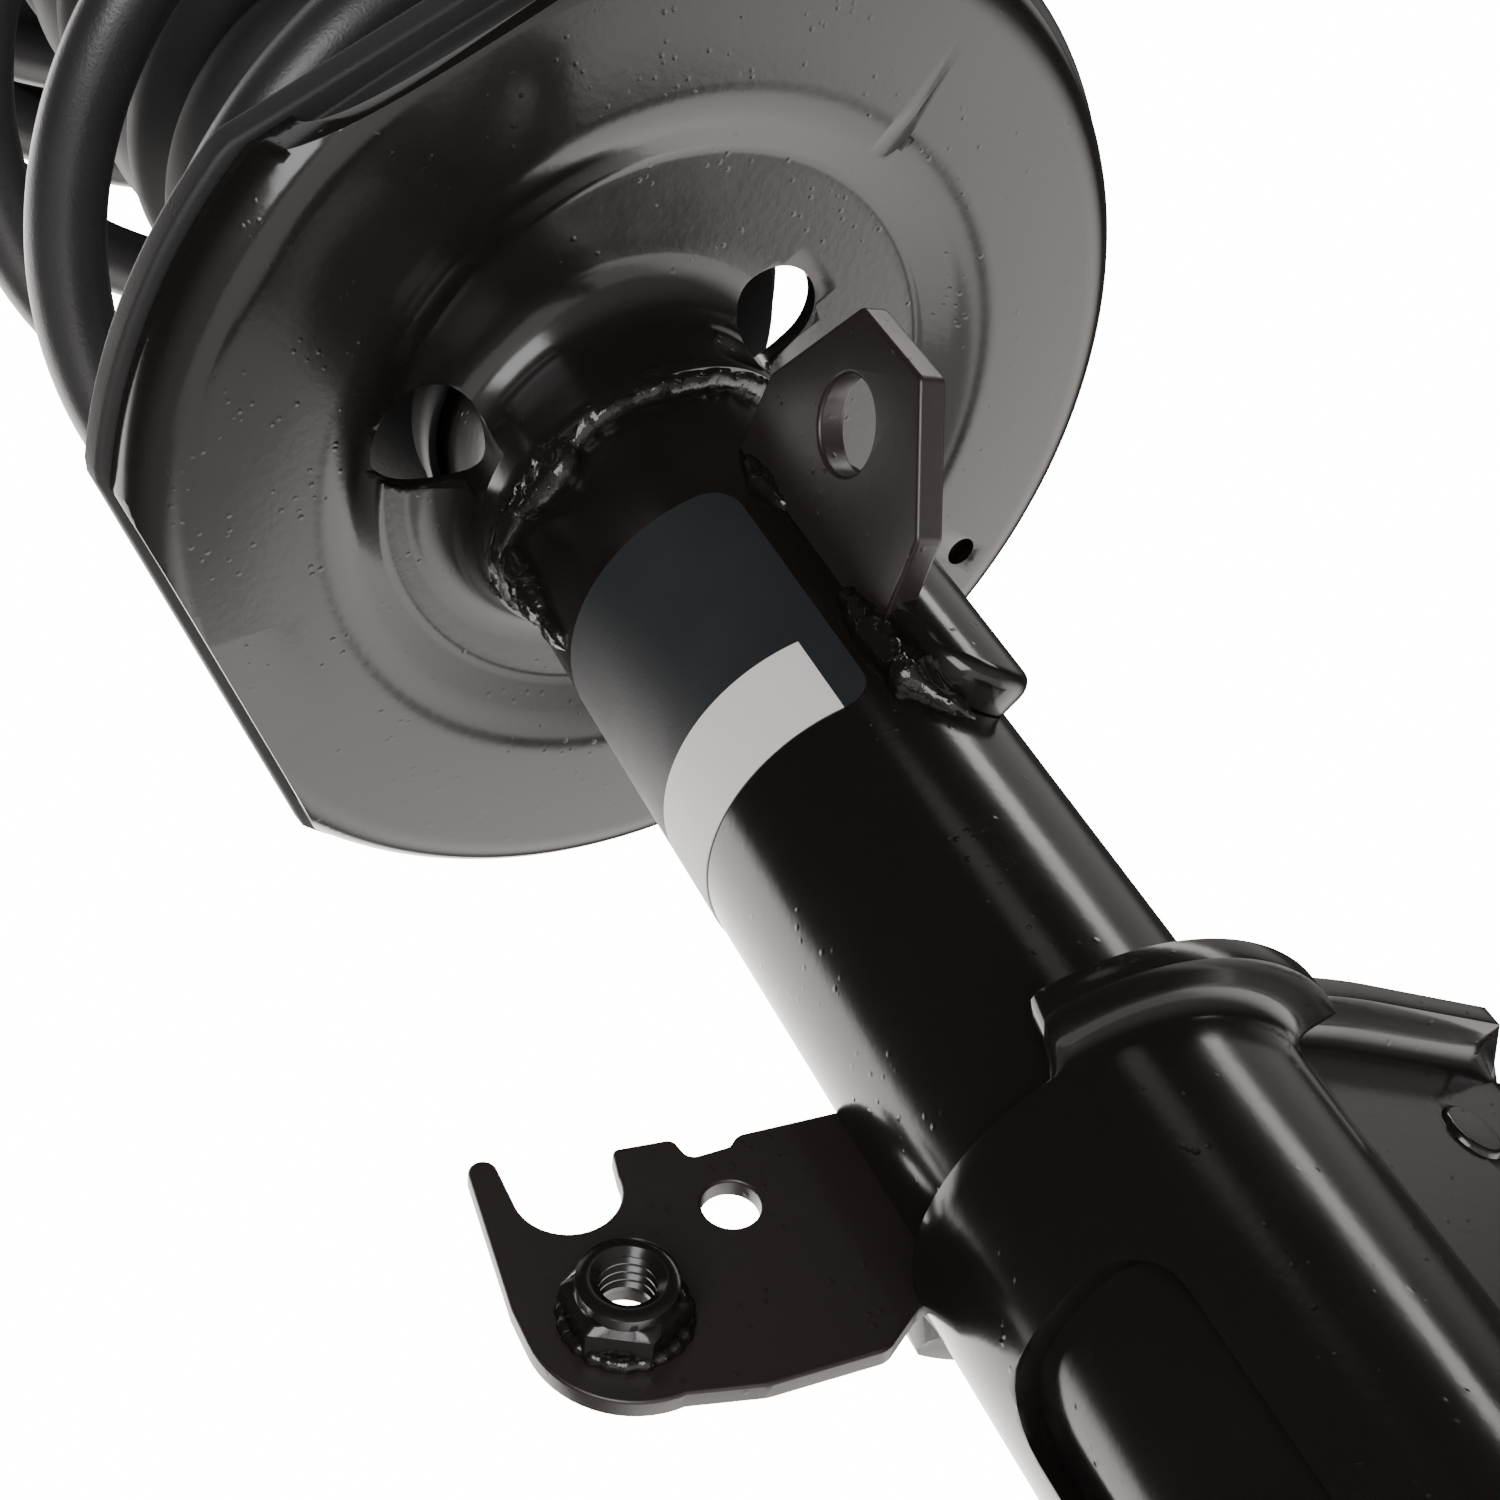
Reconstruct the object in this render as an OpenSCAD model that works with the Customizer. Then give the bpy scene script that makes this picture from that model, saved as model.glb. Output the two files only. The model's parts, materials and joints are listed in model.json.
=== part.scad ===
// Front suspension strut with coil spring, top mount and brackets.
// Millimetres, +Z up the damper axis, origin at the middle of the stud circle on the
// mount's top face. The knuckle bracket's two ears point along +X.

/* [Damper tube] */
// Outer diameter of the strut tube
tube_d = 45; // [37:0.5:54]
// Wall of the strut tube
tube_wall = 2.6; // [2:0.1:3.2]
// Length of tube below the lower spring seat
tube_below_seat = 264; // [240:1:320]
// Length of tube above the lower spring seat
tube_above_seat = 78; // [65:1:90]
// Thickness of the closed bottom of the tube
base_t = 3; // [2:0.5:5]

/* [Damper inside] */
// Diameter of the piston rod
rod_d = 20; // [16.5:0.5:24]
// Bore of the pressure tube
pressure_bore = 32; // [30:0.5:36]
// Wall of the pressure tube
pressure_wall = 1.2; // [0.9:0.1:1.6]
// Length of the rod guide
guide_h = 20; // [16:1:24]
// Height of the piston
piston_h = 16; // [12:1:20]
// Space left between the rebound stop and the rod guide
rebound_gap = 6; // [3:1:12]
// Running clearance of rod and piston, on the radius
running_gap = 0.05; // [0.02:0.01:0.09]

/* [Lower spring seat] */
// Height from the lower spring seat to the mount's top face
mount_to_seat = 312; // [290:1:375]
// Outer diameter of the lower spring seat
seat_d = 164; // [160:1:196]
// Sheet thickness of the lower spring seat
seat_t = 2.6; // [2:0.1:3.2]
// Diameter of the step between the seat's centre and its spring track
seat_step_d = 106; // [96:1:112]
// Depth of the seat's recessed centre
seat_recess = 4; // [2:0.5:6]
// Height of the seat's turned-up rim
seat_rim_h = 9.5; // [7:0.5:12]
// Distance of the seat's middle from the tube's axis
seat_offset = 8.5; // [0:0.5:10]
// Lean of the seat
seat_tilt = 5.6; // [0:0.1:7]
// Direction of the seat's offset and lean
seat_dir = 316; // [300:1:330]
// Length of the seat's neck below its spring track
neck_l = 13; // [10:1:18]
// Distance from the seat's middle to its two trimmed edges
seat_trim = 75; // [72:0.5:80]

/* [Spring] */
// Diameter of the spring wire
wire_d = 12.5; // [10:0.5:15]
// Diameter of the coil, measured at the middle of the wire
coil_d = 136; // [134:1:146]
// Number of turns
coil_turns = 6.25; // [5.25:0.25:7.25]
// Thickness of rubber under and over the spring
insulator_t = 6; // [4:0.5:8]

/* [Knuckle bracket] */
// Sheet thickness of the knuckle bracket
knuckle_t = 3.2; // [2.7:0.1:4]
// Height of the knuckle bracket
knuckle_h = 112; // [100:1:135]
// Depth of the bracket's top edge below the spring seat
knuckle_drop = 140; // [130:1:160]
// Clear gap between the two ears
ear_gap = 33; // [26:0.5:38]
// Distance from the tube's axis to the bolt holes
bolt_reach = 50; // [46:1:60]
// Distance between the two bolt holes
bolt_spacing = 60; // [50:1:72]
// Diameter of the bolt holes
bolt_hole_d = 15; // [12.5:0.5:18]
// Width of the lip along the bracket's top edge
lip_w = 6.5; // [5:0.5:7]
// Width of the window in the bracket's back
window_w = 27; // [22:1:30]

/* [Small brackets] */
// Diameter of the stabiliser link hole
link_hole_d = 13; // [10.5:0.5:15.5]
// Plate thickness of the link bracket
link_t = 4; // [3:0.5:5]
// Distance from the tube's axis to the link hole
link_reach = 39.6; // [34:0.2:46]
// Plate thickness of the hose bracket
hose_t = 2.8; // [2:0.1:4]
// Radius of the hose bracket's open slot
slot_r = 6.4; // [5:0.1:7.5]
// Diameter of the hose bracket's plain hole
hose_hole_d = 7; // [5.5:0.5:8.5]
// Thread diameter of the weld nut on the hose bracket
nut_thread_d = 8; // [6:0.5:9]

/* [Top mount] */
// Diameter of the circle that the studs stand on
stud_pcd = 96; // [88:1:116]
// Number of studs
stud_count = 3; // [2:1:4]
// Stud diameter
stud_d = 8; // [6.5:0.5:10]
// Length of the studs above the mount's top face
stud_l = 22; // [18:1:30]
// Sheet thickness of the mount's plates
mount_t = 3; // [2.5:0.5:4]
// Diameter of the rod's threaded top
rod_thread_d = 14; // [12:0.5:16]
// Number of balls in the bearing
ball_count = 18; // [12:1:20]
// Diameter of the bearing's balls
ball_d = 6; // [5:0.5:7]
// Diameter of the circle that the balls run on
ball_pcd = 64; // [62:1:70]

/* [Hidden] */
$fn = 96;

// Cuts pass this far beyond the face they open
over = 1;
// Gap of a push fit between pieces of one body
fit_gap = 0.05;
// Gap between pieces that move past each other freely
free_gap = 0.5;

// Damper
tube_r = tube_d / 2;
bore_r = tube_r - tube_wall;
rod_r = rod_d / 2;
z_seat = -mount_to_seat;
z_tube_top = z_seat + tube_above_seat;
z_tube_end = z_seat - tube_below_seat;
roll_h = 2.5;
cap_t = 4;
seal_h = 7;
z_cap = z_tube_top - roll_h - cap_t;
z_seal = z_cap - seal_h;
z_guide = z_seal - guide_h;
pressure_r = pressure_bore / 2;
guide_nose = 8;
valve_h = 12;
z_pressure_end = z_tube_end + base_t + valve_h;
stop_h = 7;
z_stop = z_guide - rebound_gap - stop_h;
z_piston = z_stop - 10;
piston_nut_h = 9;
piston_stud_r = 6;
band_in = pressure_r - running_gap - 1;

// Top mount, from the top face downwards
mount_edge = 4;
lobe_w = 10;
stud_head_w = 2.5;
stud_head_h = 2.5;
stud_spline = 0.4;
stud_tip = 1;
cup_r = 30;
cup_h = 15;
cup_hole_r = 19;
lower_cup_h = 12;
core_r = 13;
core_top = 8;
z_shoulder = -14;
washer_r = 16;
washer_t = 2.5;
rod_nut_af = 21;
rod_nut_h = 11;
race_inner_r = 24;
race_outer_r = ball_pcd / 2 + 8;
race_h = 6.5;
race_gap = 2;
ball_gap = 0.05;
z_bearing = -mount_t - lower_cup_h;
z_ball = z_bearing - race_h - race_gap / 2;
z_race_end = z_ball - race_gap / 2 - race_h;

// Upper spring seat and spring
track_rise = 1;
coil_foot = insulator_t + seat_t + track_rise + fit_gap;
coil_r = coil_d / 2;
wire_r = wire_d / 2;
perch_drop = 13;
upper_t = 3;
upper_hole_r = 20;
z_perch = z_race_end - upper_t - perch_drop;
perch_inner_r = coil_r - wire_r - 10;
perch_outer_r = coil_r + wire_r + 6;
z_coil_top = z_perch - insulator_t - 2 * fit_gap;
boot_r = tube_r + 14;
// Where the upper seat turns down, outside both the bearing and the boot
dome_r = max(race_outer_r + 2, boot_r + 5.5);
boot_t = 1.4;
boot_ribs = 11;
boot_lift = 13;
coil_start = 189;
rest_turn = 0.5;
ramp_turn = 0.45;
coil_rise = z_coil_top - wire_d - (z_seat + coil_foot);
coil_pitch = coil_rise / (coil_turns - 2 * rest_turn - ramp_turn);

// Lower spring seat
seat_r = seat_d / 2;
step_r = seat_step_d / 2;
neck_r = tube_r + fit_gap + seat_t;
rim_r = 8.5;
flare_r = 7;
step_run = 7;
// Directions of the seat's two straight edges, the second set back by edge_step
edge_dirs = [218, 130];
edge_step = 2;
// Part of the rim that is trimmed round: from its direction, over an angle, by a depth
rim_trim = [-17, 82, 3.5];
// Direction, distance from the tube's axis and radius of the two drain holes
drains = [[297, 31, 7.5], [171, 32, 8.5]];
// Direction, distance from the seat's middle and radius of the small hole
vent = [5, 68, 2.5];
// Direction, distance from the seat's middle and depth of the pressed dimple
dimple = [280, 43, 3];
dimple_r = 3.8;
dimple_l = 15;
pad_gap = 0.3;
pad_lap = 2;
pad_lip = 5;

// Knuckle bracket
wrap_in = tube_r + fit_gap;
wrap_out = wrap_in + knuckle_t;
ear_in = ear_gap / 2;
ear_out = ear_in + knuckle_t;
valley_r = 8;
ear_end = bolt_reach + 14;
z_lip = z_seat - knuckle_drop;
z_knuckle_end = z_lip - knuckle_h;
bend_r = 3;
z_bend = z_lip - knuckle_t - bend_r;
lip_end = ear_end - 8;
lip_start = [105, 135];
bolt_drop = 36;
z_bolt_top = z_lip - bolt_drop;
window_top = 27.5;
window_bottom = 24;
window_r = 8;
emboss_x = 42;
emboss_drop = 12;
emboss_r = 4.4;
emboss_h = 0.8;
ear_corner = 18;
valley_y = ear_out + valley_r;
valley_x = sqrt((wrap_out + valley_r) ^ 2 - valley_y ^ 2);
valley_a = asin(valley_y / (wrap_out + valley_r));

// Small brackets
link_dir = 256;
link_drop = 50;
z_link = z_seat - link_drop;
link_foot_sweep = 40;
link_foot_l = 36;
link_foot_up = 15;
hose_dir = 151;
hose_reach = 37.8;
hose_face = -10;
hose_drop = 125.6;
z_hose = z_seat - hose_drop;
slot_x = 17;
slot_y = 8.7;
weld_nut_x = 17.8;
weld_nut_y = -10.6;
weld_nut_h = 7;
label_from = 71;
label_sweep = 167;
label_l = 45;
label_drop = 82.5;
z_label = z_seat - label_drop;
label_t = 0.2;

// Points of an arc around (cx, cy)
function arc(cx, cy, r, from, to, steps) =
    [for (i = [0:steps]) let (a = from + (to - from) * i / steps)
        [cx + r * cos(a), cy + r * sin(a)]];
// Left-hand normal of the line from a to b
function left(a, b) = [a[1] - b[1], b[0] - a[0]] / norm(b - a);
// A path moved to its left by t, mitred at its corners
function beside(p, t) =
    [for (i = [0:len(p) - 1])
        let (n1 = left(p[max(i - 1, 0)], p[max(i, 1)]),
             n2 = left(p[min(i, len(p) - 2)], p[min(i + 1, len(p) - 1)]),
             m = n1 + n2)
        p[i] + m * (2 * t / (m * m))];
function reversed(p) = [for (i = [len(p) - 1:-1:0]) p[i]];
function polar(r, a) = [r * cos(a), r * sin(a)];

// Flat outline of a sheet that follows a path, t thick on the path's left
module strip(path, t) {
    polygon(concat(path, reversed(beside(path, t))));
}

// Ring of height h from z upwards
module ring(r_in, r_out, z, h) {
    translate([0, 0, z])
        difference() {
            cylinder(r = r_out, h = h);
            translate([0, 0, -over]) cylinder(r = r_in, h = h + 2 * over);
        }
}

// Room for the tube through a bracket whose middle is at height z
module tube_space(z) {
    reach = 60;
    translate([0, 0, z - reach]) cylinder(r = tube_r + fit_gap, h = 2 * reach);
}

// Places a child in the leaning frame of the lower spring seat
module on_seat() {
    translate([seat_offset * cos(seat_dir), seat_offset * sin(seat_dir), z_seat])
        rotate([0, 0, seat_dir])
            rotate([0, -seat_tilt, 0])
                rotate([0, 0, -seat_dir])
                    children();
}

// Places a child in the upright plane of a bracket: X outwards, Y up
module on_plane(dir, off, t) {
    rotate([0, 0, dir])
        translate([0, off, 0])
            rotate([90, 0, 0])
                translate([0, 0, -t / 2])
                    linear_extrude(height = t) children();
}

// ---- Top mount ----

// Outline of the mount's plates: a disc with a lobe at each stud
module mount_outline() {
    circle(r = stud_pcd / 2 + mount_edge);
    for (i = [0:stud_count - 1])
        rotate(i * 360 / stud_count) translate([stud_pcd / 2, 0]) circle(r = stud_d / 2 + lobe_w);
}

module stud_holes(z, h) {
    for (i = [0:stud_count - 1])
        rotate(i * 360 / stud_count)
            translate([stud_pcd / 2, 0, z])
                cylinder(r = stud_d / 2 + stud_spline + fit_gap, h = h, $fn = 48);
}

module mount_plate() {
    color("dimgray")
    difference() {
        union() {
            translate([0, 0, -mount_t]) linear_extrude(height = mount_t) mount_outline();
            cylinder(r = cup_r, h = cup_h);
        }
        translate([0, 0, -mount_t - over])
            cylinder(r = cup_r - mount_t, h = cup_h + over);
        cylinder(r = cup_hole_r, h = cup_h + over);
        stud_holes(-mount_t - over, mount_t + 2 * over);
    }
}

module mount_lower_plate() {
    color("dimgray")
    difference() {
        union() {
            translate([0, 0, -2 * mount_t]) linear_extrude(height = mount_t) mount_outline();
            translate([0, 0, z_bearing]) cylinder(r = cup_r, h = lower_cup_h - over);
        }
        translate([0, 0, z_bearing + mount_t]) cylinder(r = cup_r - mount_t, h = lower_cup_h);
        translate([0, 0, z_bearing - over]) cylinder(r = cup_hole_r, h = lower_cup_h);
        stud_holes(-2 * mount_t - over, mount_t + 2 * over);
    }
}

module mount_rubber() {
    color("black")
    rotate_extrude()
        polygon([
            [core_r + fit_gap, z_bearing + mount_t + fit_gap],
            [cup_r - mount_t - fit_gap, z_bearing + mount_t + fit_gap],
            [cup_r - mount_t - fit_gap, cup_h - mount_t - fit_gap],
            [cup_r - mount_t - 5, cup_h - mount_t - fit_gap],
            [core_r + fit_gap, core_top - 3]]);
}

module mount_core() {
    color("silver")
    ring(rod_thread_d / 2 + 2 * fit_gap, core_r, z_shoulder, core_top - z_shoulder);
}

module mount_studs() {
    color("gainsboro")
    for (i = [0:stud_count - 1])
        rotate(i * 360 / stud_count)
            translate([stud_pcd / 2, 0, 0]) {
                translate([0, 0, -2 * mount_t - stud_head_h])
                    cylinder(r = stud_d / 2 + stud_head_w, h = stud_head_h);
                translate([0, 0, -2 * mount_t - over])
                    cylinder(r = stud_d / 2 + stud_spline, h = 2 * mount_t + over);
                translate([0, 0, -over]) cylinder(d = stud_d, h = over + stud_l - stud_tip);
                translate([0, 0, stud_l - stud_tip])
                    cylinder(d1 = stud_d, d2 = stud_d - 2 * stud_tip, h = stud_tip);
            }
}

module rod_washer() {
    color("silver") ring(rod_thread_d / 2 + 2 * fit_gap, washer_r, core_top, washer_t);
}

module rod_nut() {
    color("silver")
    translate([0, 0, core_top + washer_t])
        difference() {
            cylinder(d = rod_nut_af / cos(30), h = rod_nut_h, $fn = 6);
            translate([0, 0, -over])
                cylinder(d = rod_thread_d + 4 * fit_gap, h = rod_nut_h + 2 * over);
        }
}

// Ring groove that the balls run in
module ball_groove() {
    translate([0, 0, z_ball])
        rotate_extrude() translate([ball_pcd / 2, 0]) circle(r = ball_d / 2 + ball_gap, $fn = 48);
}

module bearing_upper_race() {
    color("slategray")
    difference() {
        ring(race_inner_r, race_outer_r, z_bearing - race_h, race_h);
        ball_groove();
    }
}

module bearing_lower_race() {
    color("slategray")
    difference() {
        ring(race_inner_r, race_outer_r, z_race_end, race_h);
        ball_groove();
    }
}

module bearing_balls() {
    color("gainsboro")
    for (i = [0:ball_count - 1])
        rotate([0, 0, i * 360 / ball_count])
            translate([ball_pcd / 2, 0, z_ball]) sphere(d = ball_d, $fn = 32);
}

module bearing_cage() {
    color("saddlebrown")
    difference() {
        ring(race_inner_r + 2, race_outer_r - 2, z_ball - 0.6, 1.2);
        for (i = [0:ball_count - 1])
            rotate([0, 0, i * 360 / ball_count])
                translate([ball_pcd / 2, 0, z_ball - 2])
                    cylinder(d = ball_d + 4 * fit_gap, h = 4, $fn = 32);
    }
}

// ---- Upper seat, spring and soft parts ----

module upper_spring_seat() {
    rim = 4;
    path = concat(
        [[upper_hole_r, z_race_end - upper_t], [dome_r, z_race_end - upper_t]],
        [[perch_inner_r, z_perch]],
        arc(perch_outer_r - rim, z_perch - rim, rim, 90, 0, 4),
        [[perch_outer_r, z_perch - 2 * rim]]);
    color("black") rotate_extrude() strip(path, upper_t);
}

module upper_insulator() {
    color("dimgray") ring(perch_inner_r, coil_r + wire_r + 1, z_coil_top + fit_gap, insulator_t);
}

// Height of the wire's middle above the foot of the coil, t turns from its lower end
function climb(t) = t < rest_turn ? 0
    : t < rest_turn + ramp_turn ? coil_pitch * (t - rest_turn) ^ 2 / (2 * ramp_turn)
    : coil_pitch * (t - rest_turn - ramp_turn / 2);
function wire_h(t) = t < coil_turns / 2 ? climb(t) : coil_rise - climb(coil_turns - t);
// Middle of the wire: the lowest turn lies on the leaning seat, the top one is level
function wire_point(t) =
    let (a = coil_start + 360 * t - seat_dir, h = wire_h(t), low = 1 - h / coil_rise,
         lift = coil_foot + wire_r, lean = seat_tilt * low,
         out = low * (seat_offset - lift * sin(seat_tilt)) + coil_r * cos(a) * cos(lean),
         side = coil_r * sin(a))
    [out * cos(seat_dir) - side * sin(seat_dir), out * sin(seat_dir) + side * cos(seat_dir),
        z_seat + lift + h + coil_r * cos(a) * sin(lean)];

module coil_spring() {
    rings_per_turn = 24;
    sides = 10;
    rings = floor(coil_turns * rings_per_turn);
    points = [for (i = [0:rings]) let (t = i / rings_per_turn, a = coil_start + 360 * t)
        for (k = [0:sides - 1]) let (b = 360 * k / sides)
            wire_point(t) + wire_r * [cos(b) * cos(a), cos(b) * sin(a), sin(b)]];
    sides_faces = [for (i = [0:rings - 1]) for (k = [0:sides - 1])
        let (n = (k + 1) % sides, lo = i * sides, hi = lo + sides)
        each [[lo + k, lo + n, hi + n], [lo + k, hi + n, hi + k]]];
    ends = [[for (k = [sides - 1:-1:0]) k], [for (k = [0:sides - 1]) rings * sides + k]];
    color("black") polyhedron(points = points, faces = concat(sides_faces, ends), convexity = 10);
}

module dust_boot() {
    z_hi = z_race_end - upper_t - fit_gap;
    z_lo = z_seat + boot_lift;
    collar_h = 8;
    rib_out = 5;
    rib = (z_hi - z_lo - 3 * collar_h) / boot_ribs;
    ribs = [for (i = [0:boot_ribs - 1]) let (z = z_lo + 2 * collar_h + i * rib)
        each [[boot_r, z], [boot_r + rib_out, z + rib * 0.35],
            [boot_r + rib_out, z + rib * 0.65]]];
    path = concat([[tube_r + free_gap, z_lo], [tube_r + free_gap, z_lo + collar_h]], ribs,
        [[boot_r, z_hi - collar_h], [boot_r, z_hi]]);
    color("black") rotate_extrude() strip(reversed(path), boot_t);
}

module bump_stop() {
    z_hi = z_shoulder - 1;
    z_neck = z_race_end - upper_t - 4;
    bulge = 18;
    bulges = 3;
    z_lo = z_neck - bulges * bulge;
    neck = upper_hole_r - 3;
    color("khaki")
    difference() {
        union() {
            translate([0, 0, z_lo]) cylinder(r = neck, h = z_hi - z_lo);
            for (i = [1:bulges])
                translate([0, 0, z_neck - i * bulge])
                    cylinder(r = neck + 9 - 2 * i, h = bulge - 4);
        }
        translate([0, 0, z_lo - over]) cylinder(r = rod_r + fit_gap, h = z_hi - z_lo + 2 * over);
    }
}

// ---- Rod and piston ----

module piston_rod() {
    z_thread_top = core_top + washer_t + rod_nut_h + 4;
    z_spigot = z_piston - piston_h - piston_nut_h - 2;
    color("gainsboro") {
        translate([0, 0, z_spigot])
            cylinder(r = piston_stud_r - fit_gap, h = z_piston - z_spigot + over);
        translate([0, 0, z_piston]) cylinder(r = rod_r, h = z_shoulder - z_piston);
        translate([0, 0, z_shoulder]) cylinder(d = rod_thread_d, h = z_thread_top - z_shoulder);
    }
}

module rebound_stop() {
    color("ivory") ring(rod_r + fit_gap, rod_r + 4, z_stop, stop_h);
}

module piston() {
    color("gray")
    ring(piston_stud_r, band_in, z_piston - piston_h + fit_gap, piston_h - 2 * fit_gap);
}

module piston_band() {
    color("teal")
    ring(band_in + fit_gap / 2, pressure_r - running_gap, z_piston - piston_h + 3, piston_h - 6);
}

module piston_nut() {
    color("silver")
    translate([0, 0, z_piston - piston_h - piston_nut_h])
        difference() {
            cylinder(d = 3.1 * piston_stud_r, h = piston_nut_h, $fn = 6);
            translate([0, 0, -over]) cylinder(r = piston_stud_r, h = piston_nut_h + 2 * over);
        }
}

// ---- Tube and what it holds ----

module strut_tube() {
    color("black")
    difference() {
        translate([0, 0, z_tube_end]) cylinder(r = tube_r, h = z_tube_top - z_tube_end);
        translate([0, 0, z_tube_end - over])
            cylinder(r = bore_r, h = z_tube_top - roll_h - z_tube_end + over);
        translate([0, 0, z_tube_top - roll_h - over]) cylinder(r = bore_r - 3, h = roll_h + 2);
    }
}

module base_cap() {
    color("black")
    translate([0, 0, z_tube_end]) cylinder(r = bore_r - fit_gap, h = base_t);
}

module tube_cap() {
    color("silver")
    ring(rod_r + free_gap, bore_r - fit_gap, z_cap, cap_t - fit_gap);
}

module rod_seal() {
    color("black") ring(rod_r + running_gap, bore_r - fit_gap, z_seal, seal_h - fit_gap);
}

module rod_guide() {
    color("gray") {
        ring(rod_r + 2, bore_r - fit_gap, z_guide + guide_nose, guide_h - guide_nose - fit_gap);
        ring(rod_r + 2, pressure_r - fit_gap, z_guide, guide_nose + over);
    }
}

module rod_bushing() {
    color("peru") ring(rod_r + running_gap, rod_r + 2 - fit_gap, z_guide + 1, guide_h - 2);
}

module pressure_tube() {
    color("lightgray")
    ring(pressure_r, pressure_r + pressure_wall, z_pressure_end,
        z_guide + guide_nose - fit_gap - z_pressure_end);
}

module base_valve() {
    color("gray")
    difference() {
        union() {
            translate([0, 0, z_tube_end + base_t + fit_gap])
                cylinder(r = pressure_r + pressure_wall, h = valve_h - 2 * fit_gap);
            translate([0, 0, z_pressure_end - over]) cylinder(r = pressure_r - fit_gap, h = 9);
        }
        for (i = [0:3])
            rotate([0, 0, 90 * i])
                translate([0, 0, z_tube_end + base_t + 3])
                    rotate([0, 90, 0]) cylinder(r = 1.5, h = pressure_r + 5, $fn = 24);
    }
}

// ---- Lower spring seat ----

// Everything beyond the seat's two straight edges, moved outwards by more
module seat_edges(more) {
    far = 100;
    for (i = [0, 1])
        rotate([0, 0, edge_dirs[i]])
            translate([seat_trim - i * edge_step + more, -far, -far / 2])
                cube([far, 2 * far, far]);
}

// Everything outside the seat's trimmed outline
module seat_trims() {
    far = 100;
    seat_edges(0);
    difference() {
        rotate([0, 0, rim_trim[0]])
            translate([0, 0, -far / 2])
                rotate_extrude(angle = rim_trim[1]) square([seat_r + far, far]);
        translate([0, 0, -far]) cylinder(r = seat_r - rim_trim[2], h = 2 * far);
    }
}

// Pressed pan: recessed middle, step, spring track and turned-up rim
module seat_pan() {
    path = concat(
        [[tube_r - 4, seat_recess], [step_r - step_run, seat_recess], [step_r, 0]],
        arc(seat_r - rim_r, rim_r + track_rise, rim_r, -90, -10, 8),
        [[seat_r, seat_rim_h + track_rise]]);
    difference() {
        on_seat() rotate_extrude() strip(path, seat_t);
        on_seat() seat_trims();
    }
}

// Neck that hugs the tube and flares out into the pan
module seat_neck() {
    z_flare = seat_recess + (neck_r + flare_r) * tan(seat_tilt);
    path = concat([[neck_r, -neck_l]],
        arc(neck_r + flare_r, z_flare - flare_r, flare_r, 180, 90, 8));
    difference() {
        translate([0, 0, z_seat]) rotate_extrude() strip(path, seat_t);
        on_seat() translate([0, 0, seat_recess + seat_t]) cylinder(r = seat_r, h = 20);
    }
}

module lower_spring_seat() {
    color("black")
    difference() {
        union() {
            seat_pan();
            seat_neck();
        }
        tube_space(z_seat);
        for (d = drains)
            translate(concat(polar(d[1], d[0]), z_seat - 4)) cylinder(r = d[2], h = 30);
        on_seat() translate(concat(polar(vent[1], vent[0]), -5)) cylinder(r = vent[2], h = 20);
        on_seat() rotate([0, 0, dimple[0]]) translate([dimple[1], 0, -dimple[2]]) {
            rotate([0, 90, 0]) cylinder(r = dimple_r, h = dimple_l);
            sphere(r = dimple_r);
            translate([dimple_l, 0, 0]) sphere(r = dimple_r);
        }
    }
}

// Bead of weld laid round the tube, its middle at height z
module bead(size, z, from, sweep) {
    translate([0, 0, z])
        rotate([0, 0, from])
            rotate_extrude(angle = sweep)
                difference() {
                    translate([tube_r + 0.8, 0]) circle(r = size, $fn = 24);
                    translate([0, -size]) square([tube_r + fit_gap, 2 * size]);
                }
}

module seat_weld() {
    size = 2.6;
    color("black")
    for (from = [66, 186, 306])
        bead(size, z_seat - neck_l - size, from, 96);
}

module lower_insulator() {
    z_under = seat_t + track_rise + pad_gap;
    inner = rim_r - seat_t - pad_gap;
    z_over = seat_rim_h + track_rise + pad_gap;
    lap_r = seat_r + pad_lap;
    track_in = step_r + 3;
    track_out = coil_r + wire_r + 1;
    color("dimgray")
    on_seat()
    difference() {
        rotate_extrude()
            polygon(concat(
                [[track_in, z_under]],
                arc(seat_r - rim_r, rim_r + track_rise, inner, -90, 0, 6),
                [[seat_r - rim_r + inner, z_over], [lap_r, z_over],
                 [lap_r + pad_gap, z_over + pad_lip], [track_out, z_over + pad_lip],
                 [track_out, coil_foot - fit_gap], [track_in, coil_foot - fit_gap]]));
        seat_edges(pad_lap - 0.5);
    }
}

// ---- Brackets ----

// Outline of the link bracket's plate, x from the tube's axis and y from its hole
module link_outline() {
    inner = tube_r - 1;
    out = link_reach + 13.9;
    top = 20.5;
    bottom = -22;
    polygon([[inner, top], [link_reach - 4.7, top - 1], [out, 6], [out, -10.5],
        [link_reach - 2.6, bottom], [inner, bottom]]);
}

module link_bracket() {
    color("black")
    difference() {
        union() {
            translate([0, 0, z_link])
                on_plane(link_dir, 0, link_t) link_outline();
            translate([0, 0, z_link - link_foot_l])
                rotate([0, 0, link_dir])
                    rotate_extrude(angle = link_foot_sweep)
                        translate([tube_r - 1, 0]) square([link_t + 1, link_foot_l + link_foot_up]);
        }
        tube_space(z_link);
        translate([0, 0, z_link])
            rotate([0, 0, link_dir]) translate([link_reach, 0, 0])
                rotate([90, 0, 0]) cylinder(d = link_hole_d, h = 20, center = true);
    }
}

module link_weld() {
    size = 3.2;
    color("black")
    bead(size, z_link - link_foot_l - size, link_dir - 8, link_foot_sweep + 12);
}

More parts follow.
